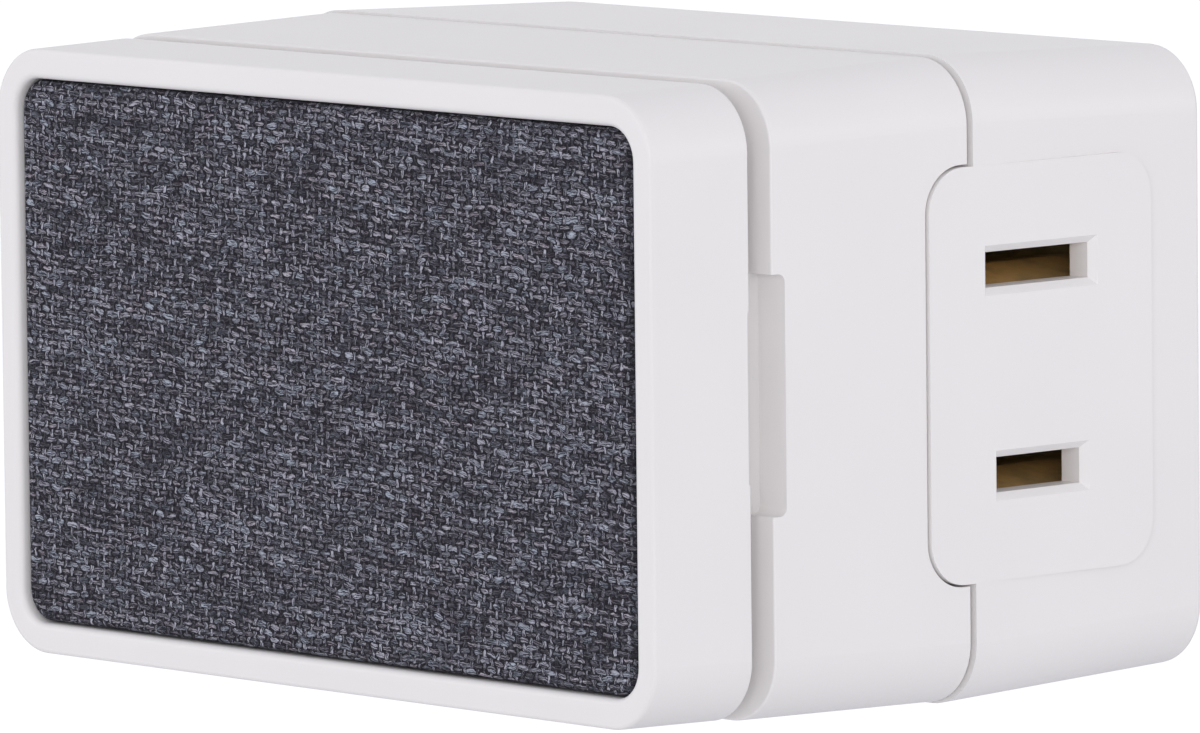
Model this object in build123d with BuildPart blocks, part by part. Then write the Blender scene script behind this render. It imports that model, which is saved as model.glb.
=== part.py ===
from build123d import *
from math import radians, tan
import os

# Plug-in digital timer with two side outlets, in millimetres.
# Origin: centre of the face that meets the wall. +X is right as the user faces
# the timer, +Y points into the wall and +Z is up, so the user's side is at -Y.
# A size named ..._y is a position along Y; spans are (low, high) pairs.

# ---- Driving dimensions -------------------------------------------------------

# Outer form. The sides spread from the front to the seam, then close in again.
front_width = 61.0
front_height = 38.45
corner_radius = 4.0
front_draft = 1.3
rear_draft = 1.67
door_depth = 7.9
door_gap = 1.7
front_housing_depth = 16.5
rear_housing_depth = 20.3
housing_step = 0.12
seam_step = 0.12
seam_gap = 0.4
front_edge_round = 0.25
break_edge = 0.15
rear_edge_round = 0.5
outlet_middle_z = 0.55

# Clearances shared by every fit
running_clearance = 0.05
screw_clearance = 0.02
slip_clearance = 0.1
moving_clearance = 0.35
solder_stick_out = 0.4

# Door, with its fabric insert
rim_width = 1.7
rim_height = 1.9
window_corner = 2.1
window_edge_round = 0.4
fabric_recess = 0.45
fabric_thickness = 0.6
insert_board_thickness = 1.35
adhesive_thickness = 0.3
adhesive_margin = 2.5
door_floor_thickness = 1.4
door_wall = 1.5
thumb_scallop_length = 10.5
thumb_scallop_depth = 0.2

# Hinge, on a vertical axis inside the door's left edge
hinge_inset_x = 2.85
hinge_inset_y = 2.2
hinge_knuckle_radius = 1.25
hinge_arm_back = 0.5
hinge_post_z = 11.5
hinge_post_height = 3.2
hinge_rib_thickness = 1.6
hinge_pin_radius = 0.75

# Magnetic latch
magnet_radius = 1.5
magnet_thickness = 1.2
magnet_boss_wall = 0.7
magnet_boss_height = 0.6
keeper_thickness = 0.8
latch_inset = 2.2

# Front housing and the neck that carries the controls
front_wall = 1.7
front_plate = 2.2
neck_inset = 2.2
neck_projection = 4.4
neck_wall = 1.4
neck_hinge_clearance = 3.5
finger_notch_length = 14.75
finger_notch_depth = 1.05
finger_notch_round = 0.55
label_thickness = 0.3
label_margin = 0.6
label_hole_clearance = 0.4

# Display
window_lap = 1.5
window_thickness = 0.9
window_to_glass_x = 0.2
window_to_glass_z = 1.25
display_z = 5.6
display_to_key = 1.6
display_glass_height = 14.0
display_glass_thickness = 1.8
display_glass_gap = 0.2
display_frame_wall = 1.1
zebra_width = 1.6
zebra_margin = 0.4

# Keys and their switches
key_proud = 0.4
key_travel = 0.4
key_flange_lap = 0.9
key_flange_thickness = 0.8
key_corner = 0.8
key_row_z = -9.0
key_row_spacing = 0.8
key_row_end_gap = 2.1
key_height = 4.4
mode_key_inset = 9.0
mode_key_size = 8.2
mode_key_to_post = 0.6
reset_key_inset = 6.2
reset_key_to_post = 0.9
reset_key_radius = 1.0
reset_key_recess = 0.1
switch_size = 4.5
switch_thickness = 1.5
switch_floor = 0.2
plunger_radius = 1.0

# Status lamp
lamp_offset = 0.7
light_pipe_radius = 1.2
light_pipe_collar = 0.3
lamp_length = 3.0
lamp_width = 1.6
lamp_height = 1.1

# Control board, held by screws to posts behind the neck's face
control_board_thickness = 1.0
control_board_drop = 3.2
control_board_clearance = 0.5
board_post_radius = 1.8
board_post_inset = 2.4
board_screw_radius = 0.7
board_screw_head_radius = 1.5
board_screw_head_height = 1.1
board_screw_bite = 2.2
chip_size = 10.0
chip_thickness = 1.4
chip_x = -8.0
chip_z = 3.0
crystal_radius = 1.0
crystal_length = 6.0
crystal_x = -8.0
crystal_z = -6.0
cell_radius = 6.25
cell_thickness = 1.6
cell_x = 10.5
cell_z = 3.5
clip_thickness = 0.3
clip_width = 4.0
small_part_length = 1.6
small_part_width = 0.8
small_part_pitch = 3.0
small_part_columns = 4
small_part_rows = 2
small_part_x = 12.0
small_part_z = -7.0

# Header that links the two boards
header_pins = 5
header_pitch = 2.54
header_pin_radius = 0.32
header_inset = 1.25
header_body_width = 2.5
header_body_height = 2.5

# Rear housing
rear_wall = 2.6
wall_face_thickness = 2.4
lip_length = 1.6
pad_length = 19.1
pad_height = 25.7
pad_corner = 2.8
pad_middle_y = -14.5
pad_depth = 2.0
pad_gap = 0.15
pad_backing_lap = 1.3
pad_backing_thickness = 1.0

# Outlets: flat two-blade polarised sockets, the wide slot on top
slot_pitch = 12.7
slot_height = 2.2
neutral_slot_length = 8.8
line_slot_length = 7.15
slot_lead_in = 0.45

# Plug blades of the same pattern
blade_pitch = 12.7
blade_thickness = 1.5
neutral_blade_width = 7.9
line_blade_width = 6.3
blade_length = 16.7
blade_tip_chamfer = 1.0
blade_hole_radius = 1.6
blade_hole_from_face = 11.7
blade_foot_thickness = 1.5
blade_foot_width = 5.2

# Contact strips
strip_thickness = 0.5
leaf_thickness = 0.4
web_half_height = 2.2
contact_to_pad = 0.2
contact_length = 12.6
leaf_throat_depth = 4.0
leaf_relief_depth = 8.6
leaf_entry_gap = 1.3
leaf_throat_gap = 0.35
leaf_relief_gap = 0.8
leaf_clear_of_cover = 0.5
board_tab_to_relay = 1.0
board_tab_height = 2.3
board_pin_radius = 0.5
stake_x = 12.5
stake_radius = 0.9
stake_height = 1.0
web_rib_width = 1.2
film_to_link = 4.1
link_pin_spread = 2.5

# Inner cover and power board
cover_thickness = 1.0
cover_to_board = 0.8
cover_clearance = 0.7
cover_window_half_width = 13.4
cover_window_rim = 1.58
cover_above_seam = 0.1
power_board_thickness = 1.6
power_post_inset = 8.3
power_post_radius = 2.0
power_screw_radius = 1.0
power_screw_head_radius = 2.0
power_screw_head_height = 1.4
power_screw_bite = 7.0

# Power board components
lead_radius = 0.35
lead_hole_clearance = 0.1
relay_length = 19.0
relay_to_strips = 1.4
relay_to_link = 0.8
relay_to_cover = 0.7
relay_lead_spread_x = 15.2
relay_lead_spread_z = 10.0
film_length = 18.0
film_width = 7.4
film_height = 13.0
header_to_film = 1.28
film_lead_spread = 15.0
electrolytic_radius = 4.0
electrolytic_length = 10.5
electrolytic_x = -14.9
electrolytic_z = -8.2
varistor_radius = 4.5
varistor_thickness = 3.6
varistor_x = 16.0
varistor_z = -9.0
diode_count = 4
diode_radius = 1.35
diode_length = 4.6
diode_to_tab = 0.7
diode_z = 9.3
diode_pitch = 3.3
fuse_radius = 1.8
fuse_length = 7.0
fuse_to_screw = 9.3
fuse_z = 13.3
resistor_radius = 2.0
resistor_length = 9.0
resistor_x = 16.0
resistor_z = 8.0
regulator_radius = 2.3
regulator_height = 4.6
regulator_to_post = 6.4
regulator_z = 1.2
axial_lead_length = 1.4

# Screws that hold the two housings together
housing_screw_inset_x = 6.5
housing_screw_inset_z = 5.6
housing_screw_radius = 1.1
housing_screw_head_radius = 2.2
housing_screw_head_height = 1.7
housing_screw_length = 13.0
screw_well_depth = 14.0
screw_well_radius = 2.5
rear_boss_radius = 3.4
front_boss_radius = 2.8
screw_slot_width = 0.6
screw_slot_depth = 0.5

# ---- Positions worked out from the driving dimensions --------------------------

seam_y = -rear_housing_depth
housing_front_y = seam_y - front_housing_depth
door_rear_y = housing_front_y - door_gap
door_front_y = door_rear_y - door_depth

insert_floor_y = (
    door_front_y + fabric_recess + fabric_thickness + insert_board_thickness + adhesive_thickness
)
door_floor_y = insert_floor_y + door_floor_thickness
neck_front_y = housing_front_y - neck_projection
neck_rear_y = neck_front_y + neck_wall
label_front_y = neck_front_y - label_thickness
control_front_y = neck_rear_y + control_board_drop
control_rear_y = control_front_y + control_board_thickness
plate_rear_y = housing_front_y + front_plate
switch_front_y = control_front_y - switch_thickness

wall_inner_y = -wall_face_thickness
web_rear_y = wall_inner_y - blade_foot_thickness
web_front_y = web_rear_y - strip_thickness
cover_top_y = seam_y - cover_above_seam
cover_rear_y = cover_top_y + cover_thickness
power_rear_y = cover_top_y - cover_to_board
power_front_y = power_rear_y - power_board_thickness
leaf_front_y = cover_rear_y + leaf_clear_of_cover

neutral_z = outlet_middle_z + slot_pitch / 2
line_z = outlet_middle_z - slot_pitch / 2


def front_size(y, step=0.0):
    """Outer width and height of the drafted front part at depth y, with a step on each side."""
    spread = 2 * (y - door_front_y) * tan(radians(front_draft)) + 2 * step
    return front_width + spread, front_height + spread


def rear_size(y):
    """Outer width and height of the rear housing at depth y; it closes in towards the wall."""
    width, height = front_size(seam_y, housing_step + seam_step)
    taper = 2 * (y - seam_y) * tan(radians(rear_draft))
    return width - taper, height - taper


def inset(size, wall):
    """Width and height inside a wall."""
    return size[0] - 2 * wall, size[1] - 2 * wall


door_half_width = front_size(door_rear_y)[0] / 2
door_half_height = front_size(door_rear_y)[1] / 2
hinge_x = hinge_inset_x - door_half_width
hinge_y = door_rear_y - hinge_inset_y
neck_left_x = hinge_x + neck_hinge_clearance
neck_right_x = door_half_width - neck_inset
neck_width = neck_right_x - neck_left_x
neck_height = 2 * (door_half_height - neck_inset)
neck_x = (neck_left_x + neck_right_x) / 2
neck_corner = corner_radius - neck_inset
pad_x = rear_size(seam_y)[0] / 2
pad_inner_x = pad_x - pad_depth
pad_seat_x = pad_inner_x - slip_clearance
inner_half_width = pad_seat_x - pad_backing_thickness - moving_clearance

control_board_width = neck_width - 2 * (neck_wall + control_board_clearance)
control_board_height = neck_height - 2 * (neck_wall + control_board_clearance)
board_post_x = control_board_width / 2 - board_post_inset
board_post_z = control_board_height / 2 - board_post_inset
corners = [(side, up) for side in (-1, 1) for up in (-1, 1)]
board_post_spots = [(neck_x + side * board_post_x, up * board_post_z) for side, up in corners]
header_z = header_inset - control_board_height / 2
header_spots = [((i - (header_pins - 1) / 2) * header_pitch, header_z) for i in range(header_pins)]
housing_screw_x = pad_x - housing_screw_inset_x
housing_screw_z = rear_size(seam_y)[1] / 2 - housing_screw_inset_z
housing_screw_spots = [(side * housing_screw_x, up * housing_screw_z) for side, up in corners]
power_post_x = pad_inner_x - power_post_inset
power_screw_spots = [(side * power_post_x, outlet_middle_z) for side in (-1, 1)]
contact_outer_x = pad_inner_x - contact_to_pad
contact_inner_x = contact_outer_x - contact_length

# Controls on the neck's face: the mode key and display in the upper row, the other keys below
mode_key_reach = mode_key_size / 2 + key_flange_lap
mode_key_x = neck_right_x - mode_key_inset
mode_key_z = board_post_z - board_post_radius - mode_key_to_post - mode_key_reach
reset_key_reach = reset_key_radius + key_flange_lap
reset_key_x = neck_right_x - reset_key_inset
reset_key_z = reset_key_reach + reset_key_to_post + board_post_radius - board_post_z
reset_spot = (reset_key_x, reset_key_z)
lamp_middle_z = (mode_key_z - mode_key_reach + reset_key_z + reset_key_reach) / 2
lamp_spot = (mode_key_x + lamp_offset, lamp_middle_z)
latch_spot = (neck_right_x - latch_inset, outlet_middle_z)

display_left_x = neck_x - board_post_x + board_post_radius + moving_clearance
display_right_x = mode_key_x - mode_key_reach - display_to_key
display_x = (display_left_x + display_right_x) / 2
display_glass_width = display_right_x - display_left_x - 2 * (display_frame_wall + slip_clearance)

row_key_names = ("program_key", "clock_key", "hour_key", "minute_key")
key_row_right_x = reset_key_x - reset_key_reach - key_row_end_gap
key_row_pitch = (key_row_right_x - display_left_x + key_row_spacing) / len(row_key_names)
key_width = key_row_pitch - key_row_spacing - 2 * key_flange_lap
key_row_x = display_left_x + key_flange_lap + key_width / 2
keys = {
    name: (key_row_x + i * key_row_pitch, key_row_z, key_width, key_height)
    for i, name in enumerate(row_key_names)
}
keys["mode_key"] = (mode_key_x, mode_key_z, mode_key_size, mode_key_size)
switch_spots = {name: key[:2] for name, key in keys.items()}
switch_spots["reset_key"] = reset_spot

# Up the power board: the header, the film capacitor, the line link and the relay
cover_half_height = rear_size(cover_top_y)[1] / 2 - rear_wall - cover_clearance
cover_window_half_height = cover_half_height - cover_window_rim
film_z = header_z + header_to_film + film_width / 2
link_z = film_z + film_width / 2 + film_to_link
relay_z_span = (link_z + relay_to_link, cover_window_half_height - relay_to_cover)
relay_z = sum(relay_z_span) / 2
relay_height = web_front_y - relay_to_strips - power_rear_y

# Lead spots of each component on the power board
relay_leads = [
    (side * relay_lead_spread_x / 2, relay_z + up * relay_lead_spread_z / 2) for side, up in corners
]
film_leads = [(side * film_lead_spread / 2, film_z) for side in (-1, 1)]


def axial_leads(x, z, length):
    """Two lead spots of a component that lies along X."""
    return [(x + side * (length / 2 + axial_lead_length - lead_radius), z) for side in (-1, 1)]


board_tab_x = -relay_length / 2 - board_tab_to_relay
diode_x = board_tab_x - diode_to_tab - axial_lead_length - diode_length / 2
fuse_x = housing_screw_x - fuse_to_screw
regulator_x = power_post_x - regulator_to_post
electrolytic_lead_z = electrolytic_z + electrolytic_length / 2 + axial_lead_length - lead_radius
electrolytic_leads = [
    (electrolytic_x + side * electrolytic_radius / 2, electrolytic_lead_z) for side in (-1, 1)
]
varistor_leads = [(varistor_x + side * varistor_radius / 2, varistor_z) for side in (-1, 1)]
diode_low_z = diode_z - (diode_count - 1) / 2 * diode_pitch
diode_spots = [(diode_x, diode_low_z + i * diode_pitch) for i in range(diode_count)]
diode_leads = [spot for x, z in diode_spots for spot in axial_leads(x, z, diode_length)]
fuse_leads = axial_leads(fuse_x, fuse_z, fuse_length)
resistor_leads = axial_leads(resistor_x, resistor_z, resistor_length)
regulator_leads = [(regulator_x + side * regulator_radius / 2, regulator_z) for side in (-1, 0, 1)]
power_lead_spots = (
    relay_leads + film_leads + electrolytic_leads + varistor_leads
    + diode_leads + fuse_leads + resistor_leads + regulator_leads
)
line_link_x = blade_pitch / 2
strip_pin_spots = [
    (board_tab_x, neutral_z),
    (board_tab_x, line_z),
    (line_link_x - link_pin_spread / 2, link_z),
    (line_link_x + link_pin_spread / 2, link_z),
]

# ---- Helpers -------------------------------------------------------------------


def at_depth(y):
    """Plane facing the user at depth y: its x is X, its y is Z, and it extrudes towards the user."""
    return Plane.XZ.offset(-y)


def drafted_block(y_span, size_front, size_rear, radius, mode=Mode.ADD):
    """Rounded block between two depths whose size changes evenly from one to the other."""
    sections = []
    for y, size in zip(y_span, (size_front, size_rear)):
        with BuildSketch(at_depth(y)) as section:
            RectangleRounded(*size, radius)
        sections.append(section.sketch)
    loft(sections, ruled=True, mode=mode)


def plate(y_span, size, radius, centre=(0, 0), mode=Mode.ADD):
    """Straight rounded plate between two depths, centred on (x, z)."""
    with BuildSketch(at_depth(y_span[1])) as outline:
        with Locations(centre):
            RectangleRounded(*size, radius)
    extrude(outline.sketch, amount=y_span[1] - y_span[0], mode=mode)


def cut(y_span, size, radius, centre=(0, 0)):
    """Cut a rounded opening between two depths, centred on (x, z)."""
    plate(y_span, size, radius, centre, mode=Mode.SUBTRACT)


def block(x_span, y_span, z_span, mode=Mode.ADD):
    """Plain block between two limits on each axis."""
    limits = (x_span, y_span, z_span)
    with Locations(tuple(sum(pair) / 2 for pair in limits)):
        Box(*[high - low for low, high in limits], mode=mode)


def rods(spots, y_span, radius, mode=Mode.ADD):
    """Round rods along Y between two depths, one at each (x, z)."""
    with BuildSketch(at_depth(y_span[1])) as discs:
        with Locations(*spots):
            Circle(radius)
    extrude(discs.sketch, amount=y_span[1] - y_span[0], mode=mode)


def pad_outline(side, inner_x, outer_x, growth, mode=Mode.ADD):
    """Rounded outlet pad on one side, between two distances from the middle, grown all round."""
    with BuildSketch(Plane.YZ.offset(min(side * inner_x, side * outer_x))) as outline:
        with Locations((pad_middle_y, outlet_middle_z)):
            RectangleRounded(pad_length + 2 * growth, pad_height + 2 * growth, pad_corner + growth)
    extrude(outline.sketch, amount=outer_x - inner_x, mode=mode)


def span(middle, length):
    """Limits of a length centred on a middle."""
    return middle - length / 2, middle + length / 2


def corner_ribs(y_span, size, wall):
    """Ribs that tie each housing screw's boss to the two walls of its corner."""
    for side, up in corners:
        x = side * housing_screw_x
        z = up * housing_screw_z
        block(sorted((x, side * (size[0] - wall) / 2)), y_span, span(z, wall))
        block(span(x, wall), y_span, sorted((z, up * (size[1] - wall) / 2)))


def corner_notches(y_span):
    """Clear the four corners of a flat piece for the rear housing's screw bosses."""
    reach = rear_boss_radius + moving_clearance
    for side, up in corners:
        block(
            sorted((side * (housing_screw_x - reach), side * pad_x)),
            y_span,
            sorted((up * (housing_screw_z - reach), up * front_height)),
            mode=Mode.SUBTRACT,
        )


def rear_leads(spots):
    """Leads of a component that stands on the board's rear."""
    rods(spots, (power_front_y - solder_stick_out, power_rear_y), lead_radius)


def front_leads(spots):
    """Leads of a component that stands on the board's front."""
    rods(spots, (power_front_y, power_rear_y + solder_stick_out), lead_radius)


def save(sub_part, name):
    """Label a sub-part and write it as its own STEP file."""
    sub_part.part.label = name
    export_step(sub_part.part, f"parts/{name}.step")


os.makedirs("parts", exist_ok=True)

# ---- Door ----------------------------------------------------------------------

window_size = (front_width - 2 * rim_width, front_height - 2 * rim_height)
board_size = inset(window_size, fabric_thickness + slip_clearance)
board_radius = window_corner - fabric_thickness - slip_clearance
fabric_front_y = door_front_y + fabric_recess
board_front_y = fabric_front_y + fabric_thickness
board_rear_y = board_front_y + insert_board_thickness
magnet_boss_y = door_floor_y + magnet_boss_height
door_rib_offset = (hinge_post_height + hinge_rib_thickness) / 2 + moving_clearance
hinge_posts = (-hinge_post_z, hinge_post_z)

# Door frame: a shell with a rim round the fabric in front, a floor, and an open back
with BuildPart() as door_frame:
    door_span = (door_front_y, door_rear_y)
    drafted_block(door_span, front_size(door_front_y), front_size(door_rear_y), corner_radius)
    fillet(faces().sort_by(Axis.Y)[0].edges(), front_edge_round)
    fillet(faces().sort_by(Axis.Y)[-1].edges(), break_edge)
    plate((door_front_y - 1, insert_floor_y), window_size, window_corner, mode=Mode.SUBTRACT)
    fillet(faces().sort_by(Axis.Y)[0].inner_wires()[0].edges(), window_edge_round)
    drafted_block(
        (door_floor_y, door_rear_y + 1),
        inset(front_size(door_floor_y), door_wall),
        inset(front_size(door_rear_y + 1), door_wall),
        corner_radius - door_wall,
        mode=Mode.SUBTRACT,
    )
    for post_z in hinge_posts:
        # Slot in the left wall that lets the housing's hinge post through
        block(
            (-door_half_width - 1, hinge_x),
            (door_floor_y, door_rear_y + 1),
            span(post_z, hinge_post_height + 2 * moving_clearance),
            mode=Mode.SUBTRACT,
        )
        for side in (-1, 1):
            rib_z = span(post_z + side * door_rib_offset, hinge_rib_thickness)
            rib_x = (door_wall / 2 - door_half_width, hinge_x + hinge_knuckle_radius)
            block(rib_x, (door_floor_y, hinge_y), rib_z)
            with Locations((hinge_x, hinge_y, sum(rib_z) / 2)):
                Cylinder(hinge_knuckle_radius, hinge_rib_thickness)
                Cylinder(hinge_pin_radius, hinge_rib_thickness, mode=Mode.SUBTRACT)
    rods([latch_spot], (door_floor_y, magnet_boss_y), magnet_radius + magnet_boss_wall)
    rods(
        [latch_spot],
        (magnet_boss_y - magnet_thickness, magnet_boss_y + 1),
        magnet_radius + running_clearance,
        mode=Mode.SUBTRACT,
    )
    # Shallow scallop in the right wall's rear edge, opposite the finger notch
    block(
        (door_half_width - 2 * door_wall, door_half_width + 1),
        (door_rear_y - thumb_scallop_depth, door_rear_y + 1),
        span(outlet_middle_z, thumb_scallop_length),
        mode=Mode.SUBTRACT,
    )
save(door_frame, "door_frame")

# Stiff board that the fabric is wrapped over
with BuildPart() as insert_board:
    plate((board_front_y, board_rear_y), board_size, board_radius)
save(insert_board, "insert_board")

# Fabric, wrapped over the board's front and edges
with BuildPart() as fabric_cover:
    plate((fabric_front_y, board_rear_y), inset(window_size, slip_clearance), window_corner - slip_clearance)
    plate((board_front_y, board_rear_y + 1), board_size, board_radius, mode=Mode.SUBTRACT)
save(fabric_cover, "fabric_cover")

with BuildPart() as insert_adhesive:
    plate((board_rear_y, insert_floor_y), inset(board_size, adhesive_margin), board_radius)
save(insert_adhesive, "insert_adhesive")

with BuildPart() as door_magnet:
    rods([latch_spot], (magnet_boss_y - magnet_thickness, magnet_boss_y), magnet_radius)
save(door_magnet, "door_magnet")

with BuildPart() as hinge_pins:
    with Locations(*[(hinge_x, hinge_y, post_z) for post_z in hinge_posts]):
        Cylinder(hinge_pin_radius, 2 * door_rib_offset + hinge_rib_thickness)
save(hinge_pins, "hinge_pins")

# ---- Front housing ---------------------------------------------------------------

front_rear_y = seam_y - seam_gap
boss_front_y = control_rear_y + board_screw_head_height + slip_clearance
housing_screw_tip_y = -screw_well_depth - housing_screw_length
neck_face = (neck_front_y - 1, neck_rear_y + 1)
window_opening = (
    display_glass_width - 2 * window_to_glass_x,
    display_glass_height - 2 * window_to_glass_z,
)
window_lens_size = inset(window_opening, -window_lap)

# Front housing: open at the back, with a neck that stands into the door and carries the controls
with BuildPart() as front_housing:
    drafted_block(
        (housing_front_y, front_rear_y),
        front_size(housing_front_y, housing_step),
        front_size(front_rear_y, housing_step),
        corner_radius,
    )
    fillet(faces().sort_by(Axis.Y)[0].edges(), break_edge)
    plate((neck_front_y, housing_front_y + 1), (neck_width, neck_height), neck_corner, centre=(neck_x, 0))
    fillet(faces().sort_by(Axis.Y)[0].edges(), break_edge)
    drafted_block(
        (plate_rear_y, front_rear_y + 1),
        inset(front_size(plate_rear_y, housing_step), front_wall),
        inset(front_size(front_rear_y + 1, housing_step), front_wall),
        corner_radius - front_wall,
        mode=Mode.SUBTRACT,
    )
    plate(
        (neck_rear_y, plate_rear_y + 1),
        inset((neck_width, neck_height), neck_wall),
        neck_corner - neck_wall,
        centre=(neck_x, 0),
        mode=Mode.SUBTRACT,
    )
    # Bosses for the screws that come in from the rear housing
    rods(housing_screw_spots, (boss_front_y, front_rear_y), front_boss_radius)
    rib_span = (boss_front_y, seam_y - lip_length - seam_gap)
    corner_ribs(rib_span, front_size(plate_rear_y, housing_step), front_wall)
    rods(
        housing_screw_spots,
        (housing_screw_tip_y, front_rear_y + 1),
        housing_screw_radius + screw_clearance,
        mode=Mode.SUBTRACT,
    )
    # Posts for the control board
    rods(board_post_spots, (neck_rear_y - neck_wall / 2, control_front_y), board_post_radius)
    rods(
        board_post_spots,
        (control_front_y - board_screw_bite, control_front_y + 1),
        board_screw_radius + screw_clearance,
        mode=Mode.SUBTRACT,
    )
    # Display window, with a ledge for its lens
    cut(neck_face, window_opening, key_corner, (display_x, display_z))
    cut(
        (neck_front_y - 1, neck_front_y + window_thickness),
        inset(window_lens_size, -slip_clearance),
        key_corner,
        (display_x, display_z),
    )
    # Key openings, and round ones for the reset key, the lamp and the keeper
    for x, z, width, height in keys.values():
        cut(neck_face, inset((width, height), -moving_clearance), key_corner + moving_clearance, (x, z))
    rods([reset_spot], neck_face, reset_key_radius + moving_clearance, mode=Mode.SUBTRACT)
    rods([lamp_spot], neck_face, light_pipe_radius, mode=Mode.SUBTRACT)
    rods(
        [latch_spot],
        (neck_front_y - 1, neck_front_y + keeper_thickness),
        magnet_radius + running_clearance,
        mode=Mode.SUBTRACT,
    )
    # Finger notch in the right front edge
    with BuildSketch(Plane.YZ.offset(neck_right_x)):
        with Locations((housing_front_y, outlet_middle_z)):
            RectangleRounded(2 * finger_notch_depth, finger_notch_length, finger_notch_round)
    extrude(amount=front_width / 2, mode=Mode.SUBTRACT)
    # Openings in both sides for the outlet pads of the rear housing, backed inside the pads
    for side in (-1, 1):
        pad_outline(side, pad_seat_x - pad_backing_thickness, pad_x - front_wall / 2, pad_backing_lap)
        pad_outline(side, pad_seat_x, pad_x + 1, pad_gap, mode=Mode.SUBTRACT)
    block((-front_width, front_width), (front_rear_y, 0), (-front_height, front_height), mode=Mode.SUBTRACT)
    # Hinge posts
    for post_z in hinge_posts:
        block(
            (hinge_x - hinge_arm_back, hinge_x + hinge_knuckle_radius),
            (hinge_y, housing_front_y + front_plate / 2),
            span(post_z, hinge_post_height),
        )
        with Locations((hinge_x, hinge_y, post_z)):
            Cylinder(hinge_knuckle_radius, hinge_post_height)
            Cylinder(hinge_pin_radius + running_clearance, hinge_post_height, mode=Mode.SUBTRACT)
save(front_housing, "front_housing")

# Thin printed film stuck over the neck's face, left bare of print
with BuildPart() as fascia_label:
    plate(
        (label_front_y, neck_front_y),
        inset((neck_width, neck_height), label_margin),
        neck_corner,
        centre=(neck_x, 0),
    )
    label_through = (label_front_y - 1, neck_front_y + 1)
    cut(label_through, window_opening, key_corner, (display_x, display_z))
    for x, z, width, height in keys.values():
        cut(label_through, inset((width, height), -label_hole_clearance), key_corner, (x, z))
    for spot, radius in ((reset_spot, reset_key_radius), (lamp_spot, light_pipe_radius)):
        rods([spot], label_through, radius + label_hole_clearance, mode=Mode.SUBTRACT)
save(fascia_label, "fascia_label")

with BuildPart() as keeper_disc:
    rods([latch_spot], (neck_front_y, neck_front_y + keeper_thickness), magnet_radius)
save(keeper_disc, "keeper_disc")

# ---- Display ---------------------------------------------------------------------

glass_front_y = neck_rear_y + display_glass_gap
glass_rear_y = glass_front_y + display_glass_thickness
glass_size = (display_glass_width, display_glass_height)
glass_pocket = inset(glass_size, -slip_clearance)

with BuildPart() as display_window:
    plate(
        (neck_front_y, neck_front_y + window_thickness),
        window_lens_size,
        key_corner,
        centre=(display_x, display_z),
    )
save(display_window, "display_window")

with BuildPart() as display_glass:
    block(
        span(display_x, display_glass_width),
        (glass_front_y, glass_rear_y),
        span(display_z, display_glass_height),
    )
save(display_glass, "display_glass")

# Frame that holds the glass over the board
with BuildPart() as display_frame:
    frame_size = inset(glass_pocket, -display_frame_wall)
    plate((neck_rear_y, control_front_y), frame_size, display_frame_wall, centre=(display_x, display_z))
    block(
        span(display_x, glass_pocket[0]),
        (neck_rear_y - 1, control_front_y + 1),
        span(display_z, glass_pocket[1]),
        mode=Mode.SUBTRACT,
    )
save(display_frame, "display_frame")

# Conductive rubber strips between the glass and the board
with BuildPart() as zebra_strips:
    strip_offset = display_glass_height / 2 - zebra_margin - zebra_width / 2
    for up in (-1, 1):
        block(
            span(display_x, display_glass_width - 2 * zebra_margin),
            (glass_rear_y, control_front_y),
            span(display_z + up * strip_offset, zebra_width),
        )
save(zebra_strips, "zebra_strips")

# ---- Keys and switches -------------------------------------------------------------

flange_front_y = neck_rear_y + slip_clearance
flange_rear_y = flange_front_y + key_flange_thickness
plunger_rear_y = control_front_y - switch_floor - key_travel - slip_clearance

for key_name, (x, z, width, height) in keys.items():
    with BuildPart() as key:
        plate((label_front_y - key_proud, flange_rear_y), (width, height), key_corner, centre=(x, z))
        fillet(faces().sort_by(Axis.Y)[0].edges(), break_edge)
        flange_size = inset((width, height), -key_flange_lap)
        plate((flange_front_y, flange_rear_y), flange_size, key_corner, centre=(x, z))
    save(key, key_name)

with BuildPart() as reset_key:
    rods([reset_spot], (label_front_y + reset_key_recess, flange_rear_y), reset_key_radius)
    rods([reset_spot], (flange_front_y, flange_rear_y), reset_key_radius + key_flange_lap)
save(reset_key, "reset_key")

for key_name, spot in switch_spots.items():
    with BuildPart() as plunger:
        rods([spot], (flange_rear_y, plunger_rear_y), plunger_radius)
    save(plunger, key_name.replace("_key", "_plunger"))

with BuildPart() as switch_bodies:
    for x, z in switch_spots.values():
        block(span(x, switch_size), (switch_front_y, control_front_y), span(z, switch_size))
    rods(
        switch_spots.values(),
        (switch_front_y - 1, control_front_y - switch_floor),
        plunger_radius + running_clearance,
        mode=Mode.SUBTRACT,
    )
save(switch_bodies, "switch_bodies")

# ---- Control board -------------------------------------------------------------------

with BuildPart() as control_board:
    plate(
        (control_front_y, control_rear_y),
        (control_board_width, control_board_height),
        key_corner,
        centre=(neck_x, 0),
    )
    board_span = (control_front_y - 1, control_rear_y + 1)
    rods(board_post_spots, board_span, board_screw_radius + slip_clearance, mode=Mode.SUBTRACT)
    rods(header_spots, board_span, header_pin_radius + lead_hole_clearance, mode=Mode.SUBTRACT)
save(control_board, "control_board")

with BuildPart() as board_screws:
    rods(
        board_post_spots,
        (control_front_y - board_screw_bite + slip_clearance, control_rear_y),
        board_screw_radius,
    )
    screw_head_y = control_rear_y + board_screw_head_height
    rods(board_post_spots, (control_rear_y, screw_head_y), board_screw_head_radius)
save(board_screws, "board_screws")

with BuildPart() as controller_chip:
    chip_rear_y = control_rear_y + chip_thickness
    block(span(chip_x, chip_size), (control_rear_y, chip_rear_y), span(chip_z, chip_size))
    chamfer(faces().sort_by(Axis.Y)[-1].edges(), break_edge)
save(controller_chip, "controller_chip")

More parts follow.
